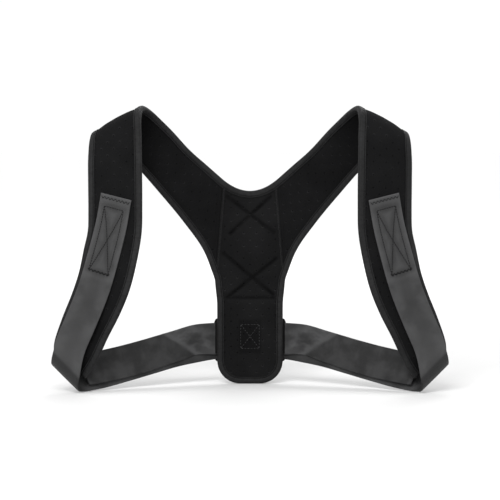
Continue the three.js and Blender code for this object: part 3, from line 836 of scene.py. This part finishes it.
def webbing_cloth(colour, loop):
    """Woven webbing: satin with fine warp ribs, or matt where the mark loop says so. Random blotches,
    a painted glint, and painted sheen in soft bands and towards its sides shade the satin, which is
    paler on the stretch above the fold. The other marks are laid over both: a painted highlight along
    the crease, painted shade along the box seam, a painted highlight between its legs, a pale cut end,
    and painted shade at the fold and under the doubled layer."""
    half_width = 19.0
    paler_from, paler_to = (110.0, 200.0), (235.0, 265.0)
    glint_shift = 40.0
    cloth = Cloth("webbing", roughness=0.5, specular=0.16)
    u, v = cloth.cloth_place()
    matt = cloth.mark("loop")
    # Soft bands of painted sheen, which also vary the roughness.
    sheen_band = cloth.noise(0.09, 2.0, u * 0.6, v * 0.5)
    blotch = cloth.noise(0.05, 3.0, u, v)
    fuzz = cloth.noise(2.2, 3.0, u, v)
    # A painted glint near the crease, as strong as the mark lit says.
    glint = cloth.noise(0.09, 2.0, u + glint_shift, v * 0.6)
    # Painted sheen: the satin is paler towards its sides.
    side = (u.absolute() / half_width).ease(0.1, 0.75)
    above_fold = v.ease(*paler_from) * (0.35 - v.ease(*paler_to) * 0.35)
    satin = cloth.layered(
        cloth.mottled(colour, side * 0.6 + sheen_band * 0.9 - 0.25, 0.62, 1.35), colour,
        (blotch.ease(0.42, 0.68) * 0.65, 0.55),
        (glint.ease(0.38, 0.78) * cloth.mark("lit"), 3.0),
        (fuzz.ease(0.5, 0.75) * 0.35, 1.7),
        (above_fold, 1.6))
    fuzzy = cloth.mottled(loop, blotch.ease(0.35, 0.7), 0.68, 1.5)
    fuzzy = cloth.layered(fuzzy, loop, (fuzz.ease(0.4, 0.8) * 0.6, 1.8))
    # Painted highlight on the crease, painted shade along the box seam, painted highlight between its
    # legs, pale cut end, and painted shade at the fold and under the doubled layer.
    cloth.colour(cloth.layered(
        cloth.blend(matt, satin, fuzzy), colour,
        (cloth.mark("crease"), 2.1),
        (cloth.mark("pulled") * 0.5, 0.45),
        (cloth.mark("raised") * 0.4, 1.7),
        (cloth.mark("cut_end"), 1.8),
        (cloth.mark("bend") * 0.7, 0.22)))
    cloth.roughness(matt * 0.3 + sheen_band * 0.12 + 0.42)
    weave = ribs(u, 1.1) * ribs(v, 0.8) * 0.7 + fuzz * 0.3
    return cloth.relief(weave + matt * fuzz * 0.6, depth=0.2 * MM)


def patch_cloth(colour):
    """Stiff plain-woven patch, with painted shade along the edges of its mouths."""
    turn = 2 * math.pi
    cloth = Cloth("keeper_patch", roughness=0.7, specular=0.08)
    u, v = cloth.cloth_place()
    weave = (u * turn).sine() * (v * turn).sine() * 0.5 + 0.5
    patch = cloth.noise(40.0, 4.0)
    base = cloth.mottled(colour, patch.ease(0.3, 0.7), 0.8, 1.25)
    # Painted shade along the mouths' edges.
    cloth.colour(cloth.layered(base, colour, (cloth.mark("hem"), 0.15)))
    return cloth.relief(weave * 0.6 + patch * 0.4, depth=0.25 * MM)


def thread_material(name, colour):
    """Twisted sewing thread."""
    cloth = Cloth(name, roughness=0.55, specular=0.1)
    twist = cloth.noise(900.0, 2.0)
    cloth.colour(cloth.mottled(colour, twist.ease(0.35, 0.65), 0.6, 1.4))
    return cloth.relief(twist, depth=0.15 * MM)


def floor_material(colour):
    """Plain pale floor, whose tone rises away from the brace as the lamps' light falls off."""
    rises = (0.7, 3.0)
    cloth = Cloth("floor", roughness=0.8, specular=0.1)
    far = cloth.node("ShaderNodeVectorMath", {0: cloth.object_place()}, operation="LENGTH")
    near = cloth.mottled(colour, cloth.noise(3.0, 2.0), 0.6, 0.61)
    cloth.colour(cloth.blend(Number(cloth, far.outputs["Value"]).ease(*rises), near, colour))
    return cloth.material


def dress(piece, material, slot, *nodes):
    """Gives a piece its material and body, and hides the solids that it stands for. The slot is not used.
    """
    piece.data.materials.append(material)
    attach(piece, "root")
    if nodes:
        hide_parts(*nodes)
    return piece


def thread(context, name="thread"):
    """The material of the stitches with one of the threads, made once."""
    colour = getattr(context.scene.brace_finish, name)
    return bpy.data.materials.get(name) or thread_material(name, colour)


# Pieces


class BRACE_OT_strap_pads(bpy.types.Operator):
    """Make both padded straps, from the back panel's seams over the shoulders to under the arms."""

    bl_idname = "brace.strap_pads"
    bl_label = "Strap Pads"

    def execute(self, context):
        material = padded_cloth("strap_pad", context.scene.brace_finish.pad)
        for name, side in SIDES.items():
            pad = strap_pad(f"{name}_pad_cloth", Strap(context.scene.brace_sizes, side))
            dress(pad, material, "pad", f"{name}_strap_pad")
        return {"FINISHED"}


def strap_pad(name, strap):
    """A padded strap. Its half thickness rises from the tapes to a flat middle, as 1 less a power of
    the way from it, is pinched at the back seam, pressed in at the seam's stitches, and carries low
    soft waves. Its place on the cloth is measured along the strap and square to that. The mark
    turned_in is painted shade: it is 1 on the inner face under the turn over the shoulder, where shade
    falls."""
    rows_per_section, columns = 16, 45
    flatness = 3.5
    least_middle = 0.1
    stitched = 5.5 * MM
    turn_starts, turn_ends = (2.2, 4.6), (7, 9)
    sizes = strap.sizes
    inset = sizes.tape_thickness + sizes.tape_slack
    cover = sizes.tape_cover + sizes.tape_slack
    at = np.linspace(0, LAST_ROW, rows_per_section * LAST_ROW + 1)[:, None]
    low, low_cover = (strap.square_share(at, 0.0, off) for off in (inset, cover))
    high, high_cover = (1 - strap.square_share(at, 1.0, off) for off in (inset, cover))
    high_cover = np.maximum(high_cover, low_cover + least_middle)
    share = low + (high - low) * np.linspace(0, 1, columns)
    place, normal, along, crossing, width = strap.spot(at, share)
    middle = np.clip((share - low_cover) / (high_cover - low_cover), 0, 1)
    rise = (1 - np.abs(2 * middle - 1) ** flatness) * column(STRAP, "crown", at)
    run = running_length(strap.line(at[:, 0], 0.5))[:, None]
    across = (share - 0.5) * width
    half = sizes.pad_edge / 2 + sizes.pad_crown / 2 * rise
    half = half - 0.45 * MM * bell(run, 1.5 * MM) - 0.5 * MM * bell(run - stitched, 0.9 * MM)
    waves = soft_waves(across, run, PAD_WAVES) * rise
    square = across * np.linalg.norm(np.cross(along, crossing), axis=-1)
    lengthways = run + across * (along * crossing).sum(-1)
    # Painted shade on the inner face under the shoulder turn.
    turned_in = smoothstep(at, *turn_starts) * fade(at, *turn_ends)
    return shell(
        name, place + normal * (half + waves)[..., None], place - normal * (half - waves)[..., None],
        np.stack([square, lengthways], -1), {"turned_in": (0.0, turned_in)})


class BRACE_OT_back_panel(bpy.types.Operator):
    """Make the quilted back panel with its tab, and the stitches on it."""

    bl_idname = "brace.back_panel"
    bl_label = "Back Panel"

    def execute(self, context):
        sizes = context.scene.brace_sizes
        back = Back(sizes)
        panel = back_panel("back_panel_cloth", back)
        material = padded_cloth("quilted_panel", context.scene.brace_finish.quilt)
        dress(panel, material, "quilt", "back_panel")
        dress(flat_seams("panel_seam_stitches", back), thread(context, "seam_thread"), "tape")
        dress(tab_box("tab_box_stitches", back), thread(context, "pale_thread"), "tape")
        return {"FINISHED"}


def quilt_press(back, x, z):
    """How far the quilting presses the panel in, as a share of its depth: along each line half a
    narrow bell, and half a wide slope that falls off as e to the power of minus the distance."""
    narrow, wide = 2.5 * MM, 6 * MM
    top = back.notch_bottom
    drop = top - back.tab_bottom
    total = np.zeros_like(x)
    for x1, down1, x2, down2, deep in zip(*QUILT.values()):
        off = off_leg(
            x, z, (x1 * back.tab_half, top - down1 * drop), (x2 * back.tab_half, top - down2 * drop))
        total = np.maximum(total, deep * (0.5 * bell(off, narrow) + 0.5 * np.exp(-off / wide)))
    return total


def back_panel(name, back):
    """The back panel: rows run from the notch down between the seams and then down the tab, each from
    side to side. It thins towards its sides and is pinched at the seams, and the quilting lines press
    into it, less so on its rear face."""
    seam_rows, side_rows, corner_rows, columns = 110, 90, 26, 71
    lap = 0.4 * MM
    taped_from, sag_from = 0.92, 0.15
    flank = (4 * MM, 15 * MM)
    rear_press = 0.6
    sizes = back.sizes
    inset = sizes.tape_thickness + sizes.tape_slack
    top_inset = inset * math.hypot(2 * sizes.notch_sag / back.seam_top[0], 1)
    seam_z = back.seam_top[2] - np.linspace(top_inset, back.seam_top[2] - back.seam_end[2], seam_rows)
    share = back.seam_share(seam_z)
    seam_half = back.seam_x(share) + lap - (inset + lap) * smoothstep(share, taped_from, 1.0)
    tab_x, tab_z, in_x, in_z = back.tab_side(side_rows, corner_rows)
    side_x = np.concatenate([seam_half, (tab_x + in_x * inset)[1:]])[:, None]
    side_z = np.concatenate([seam_z, (tab_z + in_z * inset)[1:]])[:, None]
    sag = np.concatenate([fade(share, sag_from, 1), np.zeros(len(tab_x) - 1)])[:, None]
    x = side_x * np.linspace(-1, 1, columns)
    notch = back.notch_height(x)
    z = side_z - (sizes.notch_sag - (notch - back.notch_bottom)) * sag
    off_side = side_x - np.abs(x)
    edge = np.minimum(np.minimum(off_side, z - back.tab_bottom - inset), notch - top_inset - z)
    rise = smoothstep(edge, *flank)
    half = sizes.pad_edge / 2 + sizes.pad_crown / 2 * rise
    half = half - 0.4 * MM * bell(off_side, 1.5 * MM) * (z > back.seam_end[2])
    waves = soft_waves(x, z, PANEL_WAVES) * rise
    quilted = quilt_press(back, x, z)
    front = half + waves - sizes.quilt_depth * quilted
    rear = half - waves - sizes.quilt_depth * quilted * rear_press
    place, normal = back.place(x, z), back.normal(x, z)
    return shell(
        name, place + normal * rear[..., None], place - normal * front[..., None],
        np.stack([x, z], -1), {"groove": quilted, "doubled": doubled_patch(back, x, z)})


# The box-and-cross seam on the tab: where it starts and ends, as shares of tab_length, and half its
# width.
TAB_BOX_TOP, TAB_BOX_BOTTOM = 0.43, 0.66
TAB_BOX_HALF = 11 * MM


def doubled_patch(back, x, z):
    """1 where the cloth is doubled under the tab's box seam, easing to 0 at the patch's soft edge."""
    half_width, half_height, soft = 13 * MM, 20 * MM, 2 * MM
    middle = back.seam_end[2] - (TAB_BOX_TOP + TAB_BOX_BOTTOM) / 2 * back.sizes.tab_length
    off = np.maximum(np.abs(x) - half_width, np.abs(z - middle) - half_height)
    return fade(off, -soft, soft)


def flat_seams(name, back):
    """Zigzag stitches down both seams of the panel, on its front and its rear face."""
    pitch, swing, inwards = 1.5 * MM, 1.3 * MM, 2.2 * MM
    off_tape, off_end = 3 * MM, 14 * MM
    lift = back.sizes.pad_edge / 2 + 0.05 * MM
    z = np.arange(
        back.seam_top[2] - back.sizes.tape_cover - off_tape, back.seam_end[2] + off_end, -pitch)
    x = back.seam_x(back.seam_share(z)) - inwards + zigzag(len(z), swing)
    groups = []
    for side in SIDES.values():
        place, normal = back.place(side * x, z), back.normal(side * x, z)
        for face in (-1, 1):
            spots = place + normal * face * lift
            groups.append((spots[:-1], spots[1:], face * normal[1:]))
    return bars(name, groups, radius=0.26 * MM)


def tab_box(name, back):
    """The box-and-cross seam that holds the keeper on the tab, on the tab's front face."""
    sunk = 0.1 * MM
    points = 20
    sizes = back.sizes
    height = (sizes.pad_edge + sizes.pad_crown) / 2 - sunk
    half = TAB_BOX_HALF
    top = back.seam_end[2] - TAB_BOX_TOP * sizes.tab_length
    bottom = back.seam_end[2] - TAB_BOX_BOTTOM * sizes.tab_length
    run = np.linspace(0, 1, points)
    groups = []
    for (x1, z1), (x2, z2) in box_and_cross((-half, top), (half, top), (half, bottom), (-half, bottom)):
        x, z = x1 + (x2 - x1) * run, z1 + (z2 - z1) * run
        normal = -back.normal(x, z)
        groups.append(seam_bars(back.place(x, z) + normal * height, normal, pitch=3.4 * MM))
    return bars(name, groups, radius=0.3 * MM)


class BRACE_OT_edge_tapes(bpy.types.Operator):
    """Make the edge tapes: one round the neck and down the inner edges, one down the outer edges and
    round the tab. Each is sewn through along its free edges."""

    bl_idname = "brace.edge_tapes"
    bl_label = "Edge Tapes"

    def execute(self, context):
        sizes = context.scene.brace_sizes
        material = tape_cloth(context.scene.brace_finish.tape)
        for name, edge, middle in (("neck", 0.0, neck_frames), ("outer", 1.0, tab_frames)):
            frames = tape_frames(sizes, edge, middle(Back(sizes)))
            tape = edge_tape(f"{name}_tape_cloth", sizes, frames)
            dress(tape, material, "tape", f"{name}_tape")
            seam = tape_seam(f"{name}_tape_stitches", sizes, frames)
            dress(seam, thread(context), "tape")
        return {"FINISHED"}


def strap_tape_frames(strap, at, edge):
    """A tape's two ends on a strap, its edge and where it stops on the pad, each a place and a normal.
    Near the seam it stands square to the edge, and from there on it follows the strap's cross line."""
    cover = strap.sizes.tape_cover
    place, normal, along, across, _ = strap.spot(at, edge)
    towards = 1 if edge == 0.0 else -1
    depth = strap.square_share(at, edge, cover)
    deep_place, deep_normal, _, _, _ = strap.spot(at, edge + towards * depth)
    square = np.cross(normal, along)
    square = square * np.sign((square * across).sum(-1) * towards)[:, None]
    follow = smoothstep(at, 1, 3)
    cover_place = mix(place + square * cover, deep_place, follow)
    return [place, normal, cover_place, unit(mix(normal, deep_normal, follow))]


def back_tape_frames(back, x, z, in_x, in_z):
    """The same on the back panel, for points of its outline and the directions that lead in."""
    cover = back.sizes.tape_cover
    deep_x, deep_z = x + in_x * cover, z + in_z * cover
    return [back.place(x, z), back.normal(x, z), back.place(deep_x, deep_z), back.normal(deep_x, deep_z)]


def neck_frames(back):
    """The tape's frames along the neck notch, from left to right."""
    reach, points = 0.9, 25
    share = np.linspace(-reach, reach, points)
    x = share * back.seam_top[0]
    slope = 2 * back.sizes.notch_sag * share / back.seam_top[0]
    length = np.hypot(slope, 1)
    return back_tape_frames(back, x, back.notch_height(x), slope / length, -1 / length)


def tab_frames(back):
    """The tape's frames round the tab, from the left seam's end to the right one's."""
    side_points, corner_points, bottom_points = 50, 30, 11
    side = [part[1:] for part in back.tab_side(side_points, corner_points)]
    bottom_x = np.linspace(side[0][-1], 0, bottom_points + 1)[1:]
    flat = np.ones(bottom_points)
    bottom = (bottom_x, flat * back.tab_bottom, flat * 0, flat)
    half = [np.concatenate(parts) for parts in zip(side, bottom)]
    return back_tape_frames(back, *(
        np.concatenate([sign * part[:-1], part[::-1]]) for sign, part in zip((-1, 1, -1, 1), half)))


def tape_frames(sizes, edge, middle):
    """All frames of a tape at even steps, smoothed along it by a bell-shaped mean."""
    rows_per_section = 24
    pitch = 1.8 * MM
    reach, bell_width = 5, 2.2
    at = np.linspace(0, LAST_ROW, rows_per_section * LAST_ROW + 1)
    left, right = (strap_tape_frames(Strap(sizes, side), at, edge) for side in SIDES.values())
    joined = [np.concatenate([start[::-1], *rest]) for start, *rest in zip(left, middle, right)]
    lengths = running_length(joined[0])
    wanted = np.linspace(0, lengths[-1], int(lengths[-1] / pitch))
    weights = bell(np.arange(-reach, reach + 1), bell_width)
    weights = weights / weights.sum()
    steps = np.arange(1, reach + 1)[:, None]
    smoothed = []
    for part in joined:
        even = read_line(lengths, part, wanted)
        before = even[0] + (even[0] - even[1]) * steps[::-1]
        past = even[-1] + (even[-1] - even[-2]) * steps
        longer = np.vstack([before, even, past])
        smoothed.append(np.stack([np.convolve(axis, weights, "valid") for axis in longer.T], -1))
    smoothed[1], smoothed[3] = unit(smoothed[1]), unit(smoothed[3])
    return smoothed


def on_tape(frames, inwards, height):
    """Points of a tape: inwards is the share of the way to its free edge, height along the normal."""
    place, normal, cover, cover_normal = (part[:, None] for part in frames)
    share = np.asarray(inwards)[None]
    out = unit(mix(normal, cover_normal, share))
    return mix(place, cover, share) + out * np.asarray(height)[None, :, None]


# The groove that the tape's stitches lie in, as a share of the way to its free edge.
TAPE_GROOVE = 0.83


def edge_tape(name, sizes, frames):
    """The tape: its section runs from one free edge round the fold to the other, and is carried along
    the frames. Its inner side is kept one thickness from the fold. The mark seam is 1 in the groove,
    where painted shade darkens the tape."""
    groove_width = 0.055
    free_edge, drawn_in = 0.999, 0.9
    half = tape_half_height(sizes)
    inwards = np.concatenate([TAPE["inwards"], TAPE["inwards"][-2::-1]])
    outer, inner = (
        np.concatenate([TAPE[side], -TAPE[side][-2::-1]]) * half for side in ("outer", "inner"))
    around = running_length(np.stack([inwards * sizes.tape_cover, outer], -1))
    u, v = np.broadcast_arrays(around - around[-1] / 2, running_length(frames[0])[:, None])
    wall = sizes.tape_thickness / sizes.tape_cover
    inner_inwards = wall + (1 - wall) * inwards * (inwards < free_edge) * drawn_in
    inner_inwards = np.maximum(inwards, inner_inwards)
    return shell(
        name, on_tape(frames, inwards, outer), on_tape(frames, inner_inwards, inner),
        np.stack([u, v], -1), {"seam": bell(inwards - TAPE_GROOVE, groove_width)})


def tape_seam(name, sizes, frames):
    """Stitches in the tape's groove, on both faces."""
    height = 0.74 * tape_half_height(sizes)
    groups = []
    for face in (-1, 1):
        places = on_tape(frames, [TAPE_GROOVE], [face * height])[:, 0]
        normals = unit(mix(frames[1], frames[3], TAPE_GROOVE)) * face
        groups.append(seam_bars(places, normals, pitch=3.0 * MM))
    return bars(name, groups, radius=0.25 * MM)


class BRACE_OT_webbing(bpy.types.Operator):
    """Make both webbing straps with the box-and-cross seams that hold them on the pads."""

    bl_idname = "brace.webbing"
    bl_label = "Webbing"

    def execute(self, context):
        sizes = context.scene.brace_sizes
        finish = context.scene.brace_finish
        material = webbing_cloth(finish.webbing, finish.loop)
        for name, side in SIDES.items():
            line = Webbing(sizes, Strap(sizes, side))
            webbing = webbing_strap(f"{name}_webbing_cloth", sizes, line)
            dress(webbing, material, "webbing", f"{name}_webbing")
            seam = webbing_seam(f"{name}_webbing_stitches", sizes, line)
            dress(seam, thread(context), "webbing")
        return {"FINISHED"}


def off_box(sizes, along, part):
    """How far points of the webbing lie from the nearest leg of its box seam."""
    legs = [[(run, side * sizes.webbing_width) for run, side in leg] for leg in BOX_LEGS]
    across = part * sizes.webbing_width
    return np.minimum.reduce([off_leg(along, across, start, end) for start, end in legs])


def webbing_strap(name, sizes, line):
    """The webbing: a flat strip with rounded edges along its line. Shallow waves run through its free
    stretch, and a slanting crease crosses the doubled layer. Its marks are loop, 1 where the matt side
    shows past the crease; crease, a painted highlight along that crease; lit, where a painted glint lies
    near it; bend, painted shade at the fold under the arm and a painted shadow on the layer that lies
    under the doubled one; cut_end, at the pale edge of the sewn end; and pulled and raised, painted
    shade along the box seam and a painted highlight between its legs, where the webbing puckers."""
    row_pitch = 1.7 * MM
    edge, flat_from, flat_columns = np.array([0, 0.004, 0.012, 0.024, 0.045]), 0.09, 15
    thinnest = 0.12
    stretched = 1.6
    free_starts = (110 * MM, 160 * MM)
    crease_from_end, ridge_starts = 133 * MM, (0.6, 0.7)
    past_box, off_leg_highlight = (4 * MM, 12 * MM), (2.5 * MM, 7 * MM)
    doubled_from_end = (220 * MM, 200 * MM)
    bend_starts, bend_ends, under_starts = (-0.05, 0.3), (2.5, 4.0), (4.0, 5.5)
    run = np.linspace(0, line.length, int(line.length / row_pitch))[:, None]
    flat = np.linspace(flat_from, 1 - flat_from, flat_columns)
    part = np.concatenate([edge, flat, 1 - edge[::-1]])[None, :]
    place, normal = line.spot(run, part)
    radius = sizes.webbing_thickness / 2
    off_edge = np.minimum(part, 1 - part) * sizes.webbing_width
    round_off = np.sqrt(1 - (1 - np.clip(off_edge / radius, 0, 1)) ** 2)
    thick = normal * (radius * (thinnest + (1 - thinnest) * round_off))[..., None]
    across, along = np.broadcast_arrays((part - 0.5) * sizes.webbing_width, run)
    waves = soft_waves(across, along * stretched, WEBBING_WAVES) * smoothstep(along, *free_starts)
    crease = line.length - crease_from_end - along + across
    ridge = 0.7 * MM * bell(crease, 2.2 * MM) * smoothstep(along / line.length, *ridge_starts)
    off = off_box(sizes, along, part)
    sewn = fade(along - BOX_BOTTOM, *past_box)
    pulled = bell(off, 2.6 * MM) * sewn
    centre = place + normal * (waves - ridge - 0.18 * MM * pulled)[..., None]
    doubled = smoothstep(along, *(line.length - off_end for off_end in doubled_from_end))
    row = np.interp(along, line.lengths, line.stations) - len(SEWN["at"])
    # Painted shade at the fold under the arm.
    bend = smoothstep(row, *bend_starts) * fade(row, *bend_ends)
    # Painted shadow on the layer that lies under the doubled one.
    under = smoothstep(row, *under_starts) * (1 - doubled)
    # crease, lit and raised are painted highlights; bend and pulled are painted shade.
    marks = {
        "loop": fade(crease, -3 * MM, 2 * MM) * doubled,
        "crease": 0.7 * bell(crease - 3 * MM, 3.6 * MM) * doubled,
        "lit": (0.3 + 0.5 * bell(crease - 16 * MM, 16 * MM)) * doubled,
        "bend": bend + under * (0.55 + 0.3 * ripples(across, along, 32 * MM, 22)),
        "cut_end": fade(along, 0.8 * MM, 2.0 * MM),
        "pulled": np.clip(pulled + 0.7 * fade(along, 8 * MM, 22 * MM), 0, 1),
        "raised": smoothstep(off, *off_leg_highlight) * sewn,
    }
    return shell(name, centre + thick, centre - thick, np.stack([across, along], -1), marks)


def webbing_seam(name, sizes, line):
    """The seams that hold the webbing on the pad: a zigzag row at its cut end and one under a box with
    a cross."""
    end_row = (4.4 * MM, 0.04, 0.96)
    box_row = (BOX_BOTTOM, BOX_LOW - 0.04, BOX_HIGH + 0.04)
    zigzag_pitch, swing = 2.0 * MM, 1.6 * MM
    points = 60
    groups = []
    for middle, first, last in (end_row, box_row):
        part = np.linspace(first, last, int((last - first) * sizes.webbing_width / zigzag_pitch))
        place, normal = line.spot(middle + zigzag(len(part), swing), part)
        spots = place + normal * sizes.webbing_thickness / 2
        groups.append((spots[:-1], spots[1:], normal[1:]))
    share = np.linspace(0, 1, points)
    for (run1, part1), (run2, part2) in BOX_LEGS:
        place, normal = line.spot(run1 + (run2 - run1) * share, part1 + (part2 - part1) * share)
        spots = place + normal * sizes.webbing_thickness / 2
        groups.append(seam_bars(spots, normal, pitch=2.8 * MM, share=0.8))
    return bars(name, groups, radius=0.38 * MM)


class BRACE_OT_keeper(bpy.types.Operator):
    """Make the keeper, the patch behind the tab that both webbing ends pass through."""

    bl_idname = "brace.keeper"
    bl_label = "Keeper"

    def execute(self, context):
        sizes = context.scene.brace_sizes
        back = Back(sizes)
        line = Webbing(sizes, Strap(sizes, 1))
        patch, around, width = keeper("keeper_cloth", sizes, back, line)
        dress(patch, patch_cloth(context.scene.brace_finish.keeper), "keeper", "tab_keeper")
        return {"FINISHED"}


def keeper(name, sizes, back, line):
    """The keeper: a flat sleeve whose section runs from the middle of its thin front wall round by
    quarter circles and back, carried across. Its front wall reaches past the tab only over the
    webbing, and its corners are rounded. Its cloth is painted dark along the mouths' edges: painted shade
    for the gap at each mouth."""
    radius, corner, roundness = 2.2 * MM, 6 * MM, 0.6
    lip_past_tab, lip_elsewhere, lip_thick, lip_off = 2.4 * MM, -2 * MM, 0.15 * MM, 0.5 * MM
    mouth_shade_starts = (2.2 * MM, 1.4 * MM)
    bend_points, leg_points, half_points, columns = 9, 4, 39, 121
    half_thick = sizes.keeper_thickness / 2
    rear = line.outer_y + sizes.webbing_thickness / 2 + 2 * sizes.clearance + half_thick
    front = back.seam_end[1] + tape_half_height(sizes) + sizes.clearance
    middle_z = back.seam_end[2] - TUCKED["drop"][1] * sizes.tab_length + sizes.return_rise / 2
    half_inside = (sizes.webbing_width + sizes.return_rise) / 2 + sizes.keeper_slack + half_thick
    angle = np.linspace(0, np.pi / 2, bend_points)
    leg_y = np.linspace(front, rear - radius, leg_points + 1)[:-1]
    lip_z = np.linspace(0, half_inside, half_points + 1)[:-1]
    bend_y = rear - radius + radius * np.sin(angle)
    bend_z = half_inside - radius + radius * np.cos(angle)
    flat_z = np.linspace(bend_z[-1], -bend_z[-1], half_points + 1)[1:(half_points + 1) // 2]
    y = np.concatenate([np.full(half_points, front), leg_y, bend_y, np.full(len(flat_z), rear)])
    z = np.concatenate([lip_z, np.full(leg_points, half_inside), bend_z, flat_z])
    y, z = np.concatenate([y, y[::-1]]), np.concatenate([z, -z[::-1]])
    lip = np.abs(y - front) < TINY
    section = np.stack([np.zeros_like(y), y, z + middle_z], -1)
    sideways = np.array([1.0, 0.0, 0.0])
    normals = np.cross(unit(np.gradient(section, axis=0)), sideways)
    reach = back.tab_half + sizes.keeper_overhang
    to_corner = np.clip((corner - (half_inside - np.abs(z))) / corner, 0, 1)
    reach_here = reach - corner * (1 - np.sqrt(1 - to_corner**2)) * roundness
    over_webbing = np.abs(z - sizes.return_rise / 2) < sizes.webbing_width / 2 + lip_off
    lip_reach = back.tab_half + np.where(over_webbing, lip_past_tab, lip_elsewhere)
    reach_here = np.where(lip, lip_reach, reach_here)[:, None]
    x = reach_here * np.linspace(-1, 1, columns)
    run = running_length(section)
    sag = soft_waves(x, z[:, None], KEEPER_WAVES) * (np.abs(y - rear) < TINY)[:, None]
    centre = section[:, None] + x[..., None] * sideways + normals[:, None] * sag[..., None]
    thick = (normals * np.where(lip, lip_thick, half_thick)[:, None])[:, None]
    uv = np.stack(np.broadcast_arrays(x, run[:, None]), -1)
    # Painted shade along the mouths' edges, standing for the dark gap where the webbing goes in.
    hem = smoothstep(reach_here - np.abs(x), *mouth_shade_starts)
    made = shell(name, centre + thick, centre - thick, uv, {"hem": hem})
    return made, float(run[-1]), 2 * reach


# The lamps: how far each is from the view's middle and its size, in metres, and its power in watts.
LAMPS = {
    "key": ((-0.4, -1.9, 1.4), 1.1, 56.0),
    "left_fill": ((-2.0, -0.9, 0.5), 1.0, 11.0),
    "right_fill": ((2.0, -0.9, 0.5), 1.0, 11.0),
    "rear": ((0.3, 1.9, 1.7), 1.3, 24.0),
}
SURROUND_STRENGTH = 1.02


class BRACE_OT_stage(bpy.types.Operator):
    """Set the pale floor, the soft lights and the camera."""

    bl_idname = "brace.stage"
    bl_label = "Stage"

    def execute(self, context):
        low, half = CAD_BOX[0][2], 30.0
        corners = [(-half, -half, low), (half, -half, low), (half, half, low), (-half, half, low)]
        floor = new_object("floor", corners, [(0, 1, 2, 3)])
        floor.data.materials.append(floor_material(context.scene.brace_finish.floor))
        set_world(context)
        aim = Vector((0, 0, -context.scene.brace_view.drop))
        for name, (offset, size, power) in LAMPS.items():
            add_light(name, aim, offset, size, power)
        set_camera(context, aim)
        return {"FINISHED"}


def set_world(context):
    """An even white surround."""
    world = bpy.data.worlds.new("surround")
    world.use_nodes = True
    background = world.node_tree.nodes["Background"]
    background.inputs["Color"].default_value = (1.0, 1.0, 1.0, 1.0)
    background.inputs["Strength"].default_value = SURROUND_STRENGTH
    context.scene.world = world
    context.scene.view_settings.view_transform = "Standard"


def add_light(name, aim, offset, size, power):
    """A square soft light that looks at the aim."""
    lamp = bpy.data.lights.new(name, "AREA")
    lamp.size = size
    lamp.energy = power
    made = bpy.data.objects.new(name, lamp)
    made.location = aim + Vector(offset)
    made.rotation_euler = (aim - made.location).to_track_quat("-Z", "Y").to_euler()
    bpy.context.scene.collection.objects.link(made)


def set_camera(context, aim):
    """The camera straight in front of the brace, looking slightly down."""
    view = context.scene.brace_view
    lens = bpy.data.cameras.new("camera")
    lens.lens = lens.sensor_width * view.distance / view.frame_width
    camera = bpy.data.objects.new("camera", lens)
    back = Vector((0, -math.cos(view.elevation), math.sin(view.elevation)))
    camera.location = aim + back * view.distance
    camera.rotation_euler = (-back).to_track_quat("-Z", "Y").to_euler()
    context.scene.collection.objects.link(camera)
    context.scene.camera = camera


class BRACE_PT_panel(bpy.types.Panel):
    """Sizes, colours and pieces of the brace."""

    bl_idname = "BRACE_PT_panel"
    bl_label = "Posture Corrector Brace"
    bl_space_type = "VIEW_3D"
    bl_region_type = "UI"
    bl_category = "Brace"

    def draw(self, context):
        for group in (context.scene.brace_sizes, context.scene.brace_finish, context.scene.brace_view):
            box = self.layout.box()
            for name in group.__annotations__:
                box.prop(group, name)
        for operator in PIECES:
            self.layout.operator(operator.bl_idname)


GROUPS = {"brace_sizes": BraceSizes, "brace_finish": BraceFinish, "brace_view": BraceView}
PIECES = (
    BRACE_OT_strap_pads,
    BRACE_OT_back_panel,
    BRACE_OT_edge_tapes,
    BRACE_OT_webbing,
    BRACE_OT_keeper,
    BRACE_OT_stage,
)


def register():
    for made in (*GROUPS.values(), *PIECES, BRACE_PT_panel):
        bpy.utils.register_class(made)
    for name, group in GROUPS.items():
        setattr(bpy.types.Scene, name, bpy.props.PointerProperty(type=group))


def unregister():
    for name in GROUPS:
        delattr(bpy.types.Scene, name)
    for made in (BRACE_PT_panel, *reversed(PIECES), *reversed(GROUPS.values())):
        bpy.utils.unregister_class(made)


def main():
    """Makes every piece and the stage."""
    register()
    for operator in PIECES:
        group, name = operator.bl_idname.split(".")
        getattr(getattr(bpy.ops, group), name)()


if __name__ == "__main__":
    main()
